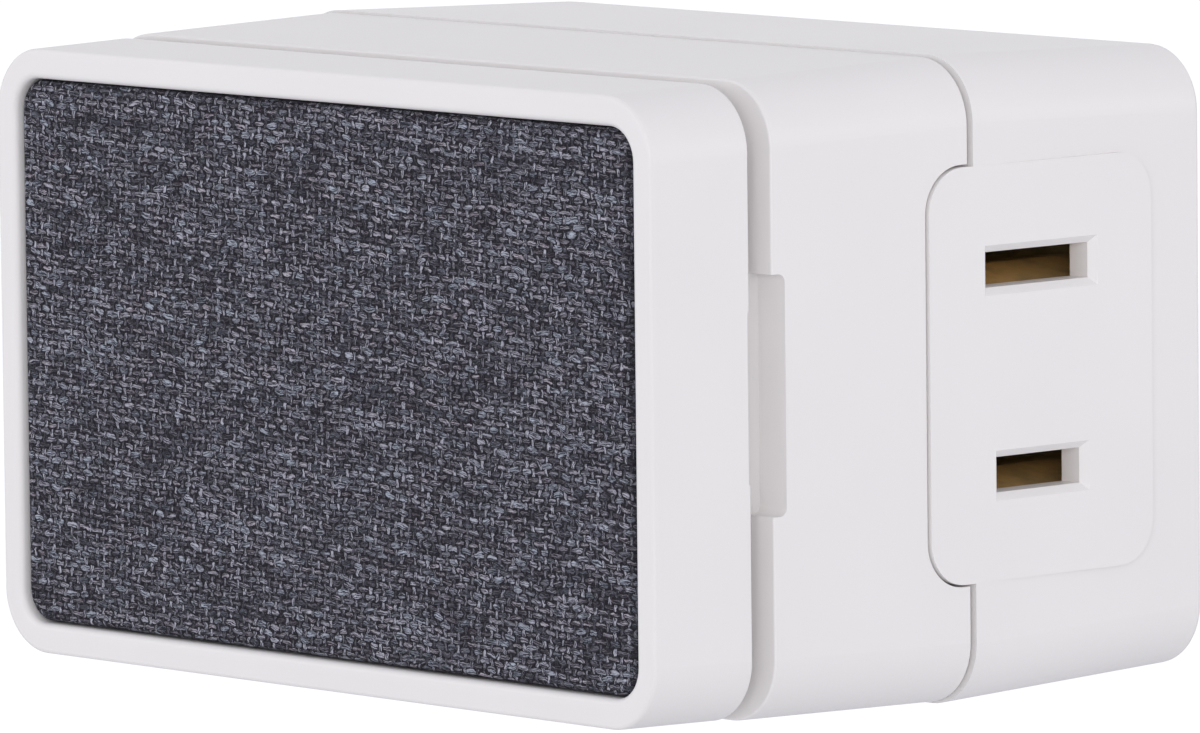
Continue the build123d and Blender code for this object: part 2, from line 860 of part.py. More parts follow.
with BuildPart() as timing_crystal:
    with Locations((crystal_x, control_rear_y + crystal_radius, crystal_z)):
        Cylinder(crystal_radius, crystal_length, rotation=(0, 90, 0))
save(timing_crystal, "timing_crystal")

cell_rear_y = control_rear_y + cell_thickness

with BuildPart() as backup_cell:
    rods([(cell_x, cell_z)], (control_rear_y, cell_rear_y), cell_radius)
    fillet(faces().sort_by(Axis.Y)[-1].edges(), clip_thickness)
save(backup_cell, "backup_cell")

# Sprung strap over the cell, soldered to the board on both sides of it
with BuildPart() as cell_clip:
    clip_reach = cell_radius + slip_clearance
    clip_span = (cell_x - clip_reach - clip_thickness, cell_x + clip_reach + clip_thickness)
    block(clip_span, (control_rear_y, cell_rear_y + clip_thickness), span(cell_z, clip_width))
    block(
        span(cell_x, 2 * clip_reach),
        (control_rear_y - 1, cell_rear_y),
        span(cell_z, clip_width),
        mode=Mode.SUBTRACT,
    )
save(cell_clip, "cell_clip")

with BuildPart() as status_lamp:
    lamp_front_y = control_front_y - lamp_height
    lamp_x, lamp_z = lamp_spot
    block(span(lamp_x, lamp_length), (lamp_front_y, control_front_y), span(lamp_z, lamp_width))
save(status_lamp, "status_lamp")

with BuildPart() as light_pipe:
    rods([lamp_spot], (label_front_y, lamp_front_y - slip_clearance), light_pipe_radius)
    collar_span = (neck_rear_y, neck_rear_y + key_flange_thickness)
    rods([lamp_spot], collar_span, light_pipe_radius + light_pipe_collar)
save(light_pipe, "light_pipe")

with BuildPart() as chip_components:
    with BuildSketch(at_depth(control_rear_y + small_part_width)) as small_parts:
        with Locations((small_part_x, small_part_z)):
            with GridLocations(small_part_pitch, small_part_pitch, small_part_columns, small_part_rows):
                Rectangle(small_part_length, small_part_width)
    extrude(small_parts.sketch, amount=small_part_width)
save(chip_components, "chip_components")

# ---- Board link ------------------------------------------------------------------------

with BuildPart() as header_body:
    block(
        span(0, header_pins * header_pitch),
        (power_front_y - header_body_height, power_front_y),
        span(header_z, header_body_width),
    )
    rods(
        header_spots,
        (power_front_y - header_body_height - 1, power_front_y + 1),
        header_pin_radius,
        mode=Mode.SUBTRACT,
    )
save(header_body, "header_body")

with BuildPart() as header_pins_row:
    pin_span = (control_front_y - solder_stick_out, power_rear_y + solder_stick_out)
    rods(header_spots, pin_span, header_pin_radius)
save(header_pins_row, "header_pins")

# ---- Rear housing ------------------------------------------------------------------------

seam_inner = inset(front_size(seam_y, housing_step), front_wall + slip_clearance)
web_spots = (neutral_z, line_z)
web_rib_spots = (contact_inner_x + web_rib_width / 2, contact_outer_x - 2 * web_rib_width)
blade_spots = ((-blade_pitch / 2, neutral_blade_width), (blade_pitch / 2, line_blade_width))
outlet_slots = ((neutral_z, neutral_slot_length), (line_z, line_slot_length))

# Rear housing: the cup that meets the wall, with the outlet pads on its sides
with BuildPart() as rear_housing:
    drafted_block((seam_y, 0), rear_size(seam_y), rear_size(0), corner_radius)
    fillet(faces().sort_by(Axis.Y)[-1].edges(), rear_edge_round)
    # Lip that seats inside the front housing
    plate((seam_y - lip_length, seam_y + 1), seam_inner, corner_radius - front_wall)
    drafted_block(
        (seam_y - lip_length - 1, wall_inner_y),
        inset(rear_size(seam_y - lip_length - 1), rear_wall),
        inset(rear_size(wall_inner_y), rear_wall),
        corner_radius - rear_wall,
        mode=Mode.SUBTRACT,
    )
    # The lip leaves room for the backing of the pad openings, and the pads take its place
    block(
        (-front_width, front_width),
        (seam_y - lip_length - 1, seam_y),
        span(outlet_middle_z, pad_height + 2 * (pad_backing_lap + slip_clearance)),
        mode=Mode.SUBTRACT,
    )
    for side in (-1, 1):
        pad_outline(side, pad_inner_x, pad_x, 0)
    # Bosses for the housing screws, with wells open at the wall face
    rods(housing_screw_spots, (seam_y, wall_inner_y + 1), rear_boss_radius)
    corner_ribs((seam_y, wall_inner_y + 1), rear_size(wall_inner_y), rear_wall)
    rods(housing_screw_spots, (-screw_well_depth, 1), screw_well_radius, mode=Mode.SUBTRACT)
    rods(housing_screw_spots, (seam_y - 1, 0), housing_screw_radius + slip_clearance, mode=Mode.SUBTRACT)
    # Posts for the inner cover and power board
    rods(power_screw_spots, (cover_rear_y, wall_inner_y + 1), power_post_radius)
    rods(
        power_screw_spots,
        (cover_rear_y - 1, cover_rear_y + power_screw_bite),
        power_screw_radius + screw_clearance,
        mode=Mode.SUBTRACT,
    )
    # Ribs and stakes that carry the contact strips
    rib_span = (web_rear_y, wall_inner_y + 1)
    for z in web_spots:
        for side in (-1, 1):
            for x in web_rib_spots:
                block(span(side * x, web_rib_width), rib_span, span(z, 2 * web_half_height))
            block(span(side * stake_x, 2 * stake_radius), rib_span, span(z, 2 * web_half_height))
            rods([(side * stake_x, z)], (web_front_y - stake_height, web_rear_y), stake_radius)
    # Pockets in the side walls that let the contacts reach close behind the slots
    for z in web_spots:
        for side in (-1, 1):
            block(
                sorted((side * (contact_outer_x - web_rib_width), side * pad_inner_x)),
                (leaf_front_y - moving_clearance, wall_inner_y),
                span(z, 2 * (web_half_height + moving_clearance)),
                mode=Mode.SUBTRACT,
            )
    # Outlet slots, each with a lead-in all round
    for z, length in outlet_slots:
        for side in (-1, 1):
            with BuildSketch(Plane.YZ.offset(side * pad_x)) as slot_mouth:
                with Locations((pad_middle_y, z)):
                    Rectangle(length + 2 * slot_lead_in, slot_height + 2 * slot_lead_in)
            extrude(slot_mouth.sketch, amount=-side * slot_lead_in, taper=45, mode=Mode.SUBTRACT)
            block(
                sorted((side * (pad_inner_x - 1), side * (pad_x + 1))),
                span(pad_middle_y, length),
                span(z, slot_height),
                mode=Mode.SUBTRACT,
            )
    # Slots for the plug blades
    for x, width in blade_spots:
        block(
            span(x, blade_thickness + 2 * running_clearance),
            (wall_inner_y - 1, 1),
            span(0, width + 2 * running_clearance),
            mode=Mode.SUBTRACT,
        )
save(rear_housing, "rear_housing")

with BuildPart() as housing_screws:
    head_rear_y = housing_screw_head_height - screw_well_depth
    shank_span = (housing_screw_tip_y + slip_clearance, -screw_well_depth)
    rods(housing_screw_spots, shank_span, housing_screw_radius)
    rods(housing_screw_spots, (-screw_well_depth, head_rear_y), housing_screw_head_radius)
    # Cross recess in each head
    cross_arm = (housing_screw_head_radius, screw_slot_width)
    for x, z in housing_screw_spots:
        for width, height in (cross_arm, cross_arm[::-1]):
            block(span(x, width), (head_rear_y - screw_slot_depth, 0), span(z, height), mode=Mode.SUBTRACT)
save(housing_screws, "housing_screws")

# ---- Plug blades and contact strips --------------------------------------------------------

for blade_name, (x, width) in zip(("neutral_blade", "line_blade"), blade_spots):
    with BuildPart() as blade:
        with BuildSketch(Plane.YZ.offset(x - blade_thickness / 2)) as outline:
            with Locations(((wall_inner_y + blade_length) / 2, 0)):
                Rectangle(blade_length - wall_inner_y, width)
            chamfer(outline.vertices().group_by(Axis.X)[-1], blade_tip_chamfer)
            with Locations((blade_hole_from_face, 0)):
                Circle(blade_hole_radius, mode=Mode.SUBTRACT)
        extrude(outline.sketch, amount=blade_thickness)
        block(span(x, blade_foot_width), (web_rear_y, wall_inner_y), span(0, width))
    save(blade, blade_name)


def contact_leaf(side, up, z):
    """One leaf of an outlet's contact: flared at the mouth, close at the throat, slack behind it."""
    inner = [
        (contact_outer_x, leaf_entry_gap),
        (contact_outer_x - leaf_throat_depth, leaf_throat_gap),
        (contact_outer_x - leaf_relief_depth, leaf_relief_gap),
        (contact_inner_x, leaf_relief_gap),
    ]
    outer = [(x, gap + leaf_thickness) for x, gap in reversed(inner)]
    with BuildSketch(at_depth(web_front_y)) as leaf:
        with BuildLine():
            Polyline(*[(side * x, z + up * gap) for x, gap in inner + outer], close=True)
        make_face()
    extrude(leaf.sketch, amount=web_front_y - leaf_front_y)


def contact_strip(z):
    """Web behind both outlets, with a pair of leaves at each end and a tab to the power board."""
    block(
        (-contact_outer_x, contact_outer_x),
        (web_front_y, web_rear_y),
        span(z, 2 * web_half_height),
    )
    rods(
        [(side * stake_x, z) for side in (-1, 1)],
        (web_front_y - 1, web_rear_y + 1),
        stake_radius + running_clearance,
        mode=Mode.SUBTRACT,
    )
    for side, up in corners:
        contact_leaf(side, up, z)
    block(span(board_tab_x, strip_thickness), (power_rear_y, web_front_y), span(z, board_tab_height))
    rods([(board_tab_x, z)], (power_front_y - solder_stick_out, power_rear_y), board_pin_radius)


# Neutral strip, with a tab down to the wide blade's foot
with BuildPart() as neutral_strip:
    contact_strip(neutral_z)
    block(
        span(-blade_pitch / 2, blade_foot_width),
        (web_front_y, web_rear_y),
        (-neutral_blade_width / 4, neutral_z - web_half_height),
    )
save(neutral_strip, "neutral_strip")

with BuildPart() as switched_line_strip:
    contact_strip(line_z)
save(switched_line_strip, "switched_line_strip")

# Strip from the narrow blade's foot to the relay's side of the power board
with BuildPart() as line_link:
    foot_top_z = line_blade_width / 2
    link_width = span(line_link_x, blade_foot_width)
    block(link_width, (web_front_y, web_rear_y), (link_z - strip_thickness / 2, foot_top_z))
    block(link_width, (power_rear_y, web_rear_y), span(link_z, strip_thickness))
    rods(strip_pin_spots[2:], (power_front_y - solder_stick_out, power_rear_y), strip_thickness / 2)
save(line_link, "line_link")

# ---- Inner cover and power board -------------------------------------------------------------

# Insulating cover over the contacts, open in the middle for the tall components
with BuildPart() as contact_cover:
    cover_size = (2 * inner_half_width, 2 * cover_half_height)
    plate((cover_top_y, cover_rear_y), cover_size, corner_radius - rear_wall)
    block(
        (-cover_window_half_width, cover_window_half_width),
        (cover_top_y - 1, cover_rear_y + 1),
        (-cover_window_half_height, cover_window_half_height),
        mode=Mode.SUBTRACT,
    )
    rods(power_screw_spots, (power_rear_y, cover_rear_y), power_post_radius)
    rods(
        power_screw_spots,
        (power_rear_y - 1, cover_rear_y + 1),
        power_screw_radius + slip_clearance,
        mode=Mode.SUBTRACT,
    )
    corner_notches((cover_top_y - 1, cover_rear_y + 1))
save(contact_cover, "contact_cover")

with BuildPart() as power_board:
    plate((power_front_y, power_rear_y), cover_size, key_corner)
    through = (power_front_y - 1, power_rear_y + 1)
    corner_notches(through)
    rods(power_screw_spots, through, power_screw_radius + slip_clearance, mode=Mode.SUBTRACT)
    rods(power_lead_spots, through, lead_radius + lead_hole_clearance, mode=Mode.SUBTRACT)
    rods(header_spots, through, header_pin_radius + lead_hole_clearance, mode=Mode.SUBTRACT)
    rods(strip_pin_spots, through, board_pin_radius + lead_hole_clearance, mode=Mode.SUBTRACT)
save(power_board, "power_board")

with BuildPart() as power_board_screws:
    shank_end_y = cover_rear_y + power_screw_bite - slip_clearance
    head_front_y = power_front_y - power_screw_head_height
    rods(power_screw_spots, (power_front_y, shank_end_y), power_screw_radius)
    rods(power_screw_spots, (head_front_y, power_front_y), power_screw_head_radius)
save(power_board_screws, "power_board_screws")

# Components on the board's rear, between the two outlets
with BuildPart() as relay:
    block(span(0, relay_length), (power_rear_y, power_rear_y + relay_height), relay_z_span)
    fillet(edges().filter_by(Axis.Y), break_edge)
    rear_leads(relay_leads)
save(relay, "relay")

with BuildPart() as film_capacitor:
    block(span(0, film_length), (power_rear_y, power_rear_y + film_height), span(film_z, film_width))
    fillet(edges().filter_by(Axis.Y), break_edge)
    rear_leads(film_leads)
save(film_capacitor, "film_capacitor")


def lying_rod(x, z, radius, length, along):
    """Round body that lies on the board's front along X or Z."""
    turn = (0, 90, 0) if along == Axis.X else (0, 0, 0)
    with Locations((x, power_front_y - radius, z)):
        Cylinder(radius, length, rotation=turn)


def axial_component(x, z, radius, length):
    """Round body along X with a wire from each end, bent down through the board."""
    lying_rod(x, z, radius, length, Axis.X)
    wire_length = length + 2 * axial_lead_length
    with Locations((x, power_front_y - radius, z)):
        Cylinder(lead_radius, wire_length, rotation=(0, 90, 0))
    bend_span = (power_front_y - radius, power_rear_y + solder_stick_out)
    rods(axial_leads(x, z, length), bend_span, lead_radius)


# Components on the board's front
with BuildPart() as electrolytic_capacitor:
    lying_rod(electrolytic_x, electrolytic_z, electrolytic_radius, electrolytic_length, Axis.Z)
    fillet(edges().filter_by(GeomType.CIRCLE), break_edge)
    body_end = electrolytic_z + electrolytic_length / 2
    bend_front_y = power_front_y - electrolytic_radius
    for x, z in electrolytic_leads:
        with Locations((x, bend_front_y, (body_end + z) / 2)):
            Cylinder(lead_radius, z - body_end + 2 * lead_radius)
    rods(electrolytic_leads, (bend_front_y, power_rear_y + solder_stick_out), lead_radius)
save(electrolytic_capacitor, "electrolytic_capacitor")

with BuildPart() as varistor:
    rods([(varistor_x, varistor_z)], (power_front_y - varistor_thickness, power_front_y), varistor_radius)
    fillet(edges().filter_by(GeomType.CIRCLE), break_edge)
    front_leads(varistor_leads)
save(varistor, "varistor")

with BuildPart() as rectifier_diodes:
    for x, z in diode_spots:
        axial_component(x, z, diode_radius, diode_length)
save(rectifier_diodes, "rectifier_diodes")

with BuildPart() as line_fuse:
    axial_component(fuse_x, fuse_z, fuse_radius, fuse_length)
save(line_fuse, "line_fuse")

with BuildPart() as power_resistor:
    axial_component(resistor_x, resistor_z, resistor_radius, resistor_length)
save(power_resistor, "power_resistor")

# Half-round three-leg regulator
with BuildPart() as regulator:
    rods([(regulator_x, regulator_z)], (power_front_y - regulator_height, power_front_y), regulator_radius)
    block(
        span(regulator_x, 2 * regulator_radius),
        (power_front_y - regulator_height, power_front_y),
        (regulator_z + regulator_radius / 2, regulator_z + regulator_radius),
        mode=Mode.SUBTRACT,
    )
    front_leads(regulator_leads)
save(regulator, "regulator")
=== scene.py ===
"""Plug-in timer switch: the cloth front, printed marks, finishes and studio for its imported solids."""

import logging
import math
from dataclasses import dataclass
from enum import Enum
from functools import cache, reduce
from typing import Union

import bpy
import numpy as np
from mathutils import Matrix, Vector


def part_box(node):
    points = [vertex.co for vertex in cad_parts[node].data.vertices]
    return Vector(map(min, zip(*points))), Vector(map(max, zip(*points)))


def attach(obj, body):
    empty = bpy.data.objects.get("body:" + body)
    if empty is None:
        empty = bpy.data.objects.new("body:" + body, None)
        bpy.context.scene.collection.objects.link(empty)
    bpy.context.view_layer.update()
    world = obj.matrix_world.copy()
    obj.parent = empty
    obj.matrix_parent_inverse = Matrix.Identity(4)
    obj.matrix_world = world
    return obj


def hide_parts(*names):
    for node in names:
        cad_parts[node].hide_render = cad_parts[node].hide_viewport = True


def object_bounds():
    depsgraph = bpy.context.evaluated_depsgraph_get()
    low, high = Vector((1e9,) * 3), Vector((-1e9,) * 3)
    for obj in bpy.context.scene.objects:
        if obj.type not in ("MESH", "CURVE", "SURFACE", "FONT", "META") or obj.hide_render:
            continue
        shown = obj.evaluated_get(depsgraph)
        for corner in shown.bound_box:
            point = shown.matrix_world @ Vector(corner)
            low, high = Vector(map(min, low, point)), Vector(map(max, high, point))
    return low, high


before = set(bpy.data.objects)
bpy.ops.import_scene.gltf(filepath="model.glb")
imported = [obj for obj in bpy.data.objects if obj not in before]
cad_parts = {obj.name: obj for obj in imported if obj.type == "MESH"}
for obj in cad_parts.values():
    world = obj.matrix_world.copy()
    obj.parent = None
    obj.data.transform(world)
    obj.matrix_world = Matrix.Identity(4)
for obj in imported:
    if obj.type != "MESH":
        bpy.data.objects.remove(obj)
cad_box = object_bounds()

MM = 0.001
SOFT_EDGE = 0.02 * MM  # half width of a mask's soft edge

Colour = tuple[float, float, float]
Socket = bpy.types.NodeSocket
Value = Union[Socket, float, tuple]
Inputs = dict[Union[str, int], Value]
Arrays = tuple[np.ndarray, np.ndarray, np.ndarray]

log = logging.getLogger("timer_switch")


def scaled(colour: Colour, factor: float) -> Colour:
    """A colour made lighter or darker."""
    return tuple(min(part * factor, 1.0) for part in colour)


def middle_and_half(node: str) -> tuple[np.ndarray, np.ndarray]:
    """Middle and half size of a solid's box, on X, Y and Z."""
    low, high = (np.array(corner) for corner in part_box(node))
    return (low + high) / 2, (high - low) / 2


# ---- Node trees ---------------------------------------------------------------


class Graph:
    """A shader tree being filled in, with short ways to add and link its nodes."""

    def __init__(self, tree: bpy.types.NodeTree) -> None:
        """Empty the tree and keep it."""
        tree.nodes.clear()
        self.tree = tree

    def feed(self, node: bpy.types.Node, inputs: Inputs) -> None:
        """Link a socket to each input of a node, or set the input to a plain value.

        Args:
            node: the node to feed.
            inputs: value or socket for each named or numbered input.
        """
        for key, value in inputs.items():
            if isinstance(value, bpy.types.NodeSocket):
                self.tree.links.new(value, node.inputs[key])
            else:
                node.inputs[key].default_value = value

    def node(self, kind: str, inputs: Inputs | None = None, **settings: object) -> bpy.types.Node:
        """Add a node.

        Args:
            kind: Blender's name of the node type.
            inputs: value or socket for each named or numbered input.
            settings: the node's own properties.

        Returns:
            The new node.
        """
        made = self.tree.nodes.new(kind)
        for name, value in settings.items():
            setattr(made, name, value)
        self.feed(made, inputs or {})
        return made

    def math(self, operation: str, *values: Value, clamp: bool = False) -> Socket:
        """Output of a Math node on the given values."""
        inputs = dict(enumerate(values))
        return self.node("ShaderNodeMath", inputs, operation=operation, use_clamp=clamp).outputs[0]

    def plus(self, *values: Value) -> Socket:
        """Sum of values."""
        return reduce(lambda total, value: self.math("ADD", total, value), values)

    def minus(self, value: Value, taken: Value) -> Socket:
        """Difference of two values."""
        return self.math("SUBTRACT", value, taken)

    def times(self, *values: Value) -> Socket:
        """Product of values."""
        return reduce(lambda total, value: self.math("MULTIPLY", total, value), values)

    def off(self, value: Value, middle: Value) -> Socket:
        """How far a value is from a middle one."""
        return self.math("ABSOLUTE", self.minus(value, middle))

    def vector(self, operation: str, *values: Value) -> Socket:
        """Vector output of a Vector Math node on the given values."""
        return self.node("ShaderNodeVectorMath", dict(enumerate(values)), operation=operation).outputs[0]

    def split(self, vector: Value) -> tuple[Socket, Socket, Socket]:
        """The three parts of a vector."""
        parts = self.node("ShaderNodeSeparateXYZ", {0: vector}).outputs
        return parts[0], parts[1], parts[2]

    def join(self, x: Value, y: Value, z: Value = 0.0) -> Socket:
        """A vector of three parts."""
        return self.node("ShaderNodeCombineXYZ", {0: x, 1: y, 2: z}).outputs[0]

    def tint(self, factor: Value, low: Value, high: Value, blend: str = "MIX") -> Socket:
        """Colour between two colours.

        Args:
            factor: 0 for the low colour, 1 for the high one.
            low: socket or plain RGB.
            high: socket or plain RGB.
            blend: Blender's name of the way to mix them.

        Returns:
            The mixed colour.
        """
        colours = [(*c, 1.0) if isinstance(c, tuple) and len(c) == 3 else c for c in (low, high)]
        inputs = {0: factor, 6: colours[0], 7: colours[1]}
        return self.node("ShaderNodeMix", inputs, data_type="RGBA", blend_type=blend).outputs[2]

    def fade(self, tone: Value, colour: Colour, least: float) -> Socket:
        """A colour that drifts with tone between its least share and its full one."""
        return self.tint(tone, scaled(colour, least), colour)

    def between(self, factor: Value, low: Value, high: Value) -> Socket:
        """Number between two numbers."""
        return self.node("ShaderNodeMix", {0: factor, 2: low, 3: high}, data_type="FLOAT").outputs[0]

    def around(self, factor: Value, middle: float, half: float) -> Socket:
        """Number within half of a middle one."""
        return self.between(factor, middle - half, middle + half)

    def ramp(
        self, value: Value, low: Value, high: Value, to_low: Value = 0.0, to_high: Value = 1.0
    ) -> Socket:
        """Smooth step of a value from one range to another, held at its ends."""
        inputs = {0: value, 1: low, 2: high, 3: to_low, 4: to_high}
        return self.node("ShaderNodeMapRange", inputs, interpolation_type="SMOOTHSTEP").outputs[0]

    def mask(self, inside: Value) -> Socket:
        """Mask of a distance: 1 where it is positive, 0 where negative, with a soft edge."""
        return self.ramp(inside, -SOFT_EDGE, SOFT_EDGE)

    def noise(self, vector: Value, scale: Value, detail: float = 2.0, rough: float = 0.5) -> Socket:
        """Noise from 0 to 1."""
        inputs = {"Vector": vector, "Scale": scale, "Detail": detail, "Roughness": rough}
        return self.node("ShaderNodeTexNoise", inputs).outputs[0]

    def dice(self, x: Value, y: Value) -> Socket:
        """A random number from 0 to 1 for each pair of whole numbers."""
        cell = {0: self.join(x, y)}
        return self.node("ShaderNodeTexWhiteNoise", cell, noise_dimensions="2D").outputs[0]

    def bump(self, height: Value, depth: float) -> Socket:
        """Normal of a height from 0 to 1 whose full rise is depth metres."""
        inputs = {"Height": height, "Distance": depth, "Strength": 1.0}
        return self.node("ShaderNodeBump", inputs).outputs[0]

    def place(self) -> Socket:
        """The point's place on the object, in metres."""
        return self.node("ShaderNodeTexCoord").outputs["Object"]

    def use(self, group: bpy.types.NodeTree, **inputs: Value) -> bpy.types.Node:
        """Add a shared effect; underscores in the names of its inputs stand for spaces."""
        named = {name.replace("_", " "): value for name, value in inputs.items()}
        return self.node("ShaderNodeGroup", named, node_tree=group)

    def grain(self, drift_scale: float, texture_scale: float) -> tuple[Socket, Socket]:
        """Add the grain of a moulded surface at the point's place.

        Args:
            drift_scale: how quickly the tone drifts, per metre.
            texture_scale: how fine the texture is, per metre.

        Returns:
            Tone and texture, each from 0 to 1.
        """
        outputs = self.use(
            grain_effect(), Vector=self.place(), Drift_Scale=drift_scale, Texture_Scale=texture_scale
        ).outputs
        return outputs["Tone"], outputs["Texture"]


class SharedEffect:
    """A node group being built: its graph, its inputs by name, and what it puts out."""

    KINDS = {"vector": "NodeSocketVector", "number": "NodeSocketFloat"}

    def __init__(self, name: str, inputs: dict[str, str], outputs: tuple[str, ...]) -> None:
        """Make the group's sockets.

        Args:
            name: the group's name.
            inputs: kind of each input, by name.
            outputs: name of each number that it puts out.
        """
        self.tree = bpy.data.node_groups.new(name, "ShaderNodeTree")
        self.graph = Graph(self.tree)
        for way, sockets in (("INPUT", inputs), ("OUTPUT", dict.fromkeys(outputs, "number"))):
            for label, kind in sockets.items():
                self.tree.interface.new_socket(label, in_out=way, socket_type=self.KINDS[kind])
        self.inputs = self.graph.node("NodeGroupInput").outputs
        self.result = self.graph.node("NodeGroupOutput")

    def finish(self, **outputs: Value) -> bpy.types.NodeTree:
        """Link what the group puts out, and return it."""
        self.graph.feed(self.result, outputs)
        return self.tree


@cache
def grain_effect() -> bpy.types.NodeTree:
    """Moulded surface: Tone drifts slowly from 0 to 1, Texture is fine and even.

    Returns:
        The node group.
    """
    effect = SharedEffect(
        "moulded grain",
        {"Vector": "vector", "Drift Scale": "number", "Texture Scale": "number"},
        ("Tone", "Texture"),
    )
    g, given = effect.graph, effect.inputs
    tone = g.noise(given["Vector"], given["Drift Scale"], detail=2.0)
    texture = g.noise(given["Vector"], given["Texture Scale"], detail=3.0, rough=0.6)
    return effect.finish(Tone=g.ramp(tone, 0.3, 0.7), Texture=texture)


@cache
def brush_effect() -> bpy.types.NodeTree:
    """Rolled or brushed metal: Lines runs along the stretched way of the Vector given, Stain drifts.

    Returns:
        The node group.
    """
    effect = SharedEffect("rolled metal", {"Vector": "vector", "Stretch": "vector"}, ("Lines", "Stain"))
    g, given = effect.graph, effect.inputs
    stretched = g.vector("MULTIPLY", given["Vector"], given["Stretch"])
    lines = g.noise(stretched, scale=1.0, detail=3.0, rough=0.65)
    stain = g.ramp(g.noise(given["Vector"], scale=450.0, detail=3.0), 0.35, 0.7)
    return effect.finish(Lines=lines, Stain=stain)


@cache
def slab_effect() -> bpy.types.NodeTree:
    """Mask of a slab: 1 where a coordinate lies within Half of Middle, with a soft edge.

    Returns:
        The node group.
    """
    effect = SharedEffect("slab", {"Place": "number", "Middle": "number", "Half": "number"}, ("Mask",))
    g, given = effect.graph, effect.inputs
    return effect.finish(Mask=g.mask(g.minus(given["Half"], g.off(given["Place"], given["Middle"]))))


@cache
def frame_line_effect() -> bpy.types.NodeTree:
    """Rounded frame line: 1 on a line of the given Width round a rounded rectangle on X and Z.

    The distance to the outline is the length of how far the point lies beyond the core
    rectangle, less the corner radius, and inside the core the smaller of the two gaps.

    Returns:
        The node group.
    """
    numbers = ("Half Width", "Half Height", "Radius", "Width")
    effect = SharedEffect(
        "frame line", {"Vector": "vector", **dict.fromkeys(numbers, "number")}, ("Line", "Inside")
    )
    g, given = effect.graph, effect.inputs
    x, _, z = g.split(given["Vector"])
    beyond = [
        g.minus(g.math("ABSOLUTE", part), g.minus(given[half], given["Radius"]))
        for part, half in ((x, "Half Width"), (z, "Half Height"))
    ]
    outer = [g.math("MAXIMUM", part, 0.0) for part in beyond]
    corner = g.math("SQRT", g.plus(*(g.times(part, part) for part in outer)))
    inner = g.math("MINIMUM", g.math("MAXIMUM", *beyond), 0.0)
    distance = g.minus(g.plus(corner, inner), given["Radius"])
    line = g.mask(g.minus(g.times(given["Width"], 0.5), g.math("ABSOLUTE", distance)))
    return effect.finish(Line=line, Inside=g.ramp(distance, SOFT_EDGE, -SOFT_EDGE))


@cache
def track_effect() -> bpy.types.NodeTree:
    """Etched tracks on a board: straight runs that change rows where a slow noise says so.

    Returns:
        The node group.
    """
    runs_per_metre = 130.0
    effect = SharedEffect("board tracks", {"Vector": "vector", "Pitch": "number"}, ("Track",))
    g, given = effect.graph, effect.inputs
    x, _, z = g.split(given["Vector"])
    masks = []
    for along, across, seed in ((x, z, 3.1), (z, x, 8.7)):
        lane = g.math("DIVIDE", across, given["Pitch"])
        way = g.join(g.times(along, runs_per_metre), g.times(g.math("FLOOR", lane), seed), seed)
        track = g.ramp(g.off(g.math("FRACT", lane), 0.5), 0.24, 0.17)
        masks.append(g.times(track, g.ramp(g.noise(way, scale=1.0, detail=0.0), 0.5, 0.52)))
    return effect.finish(Track=g.math("MAXIMUM", *masks))


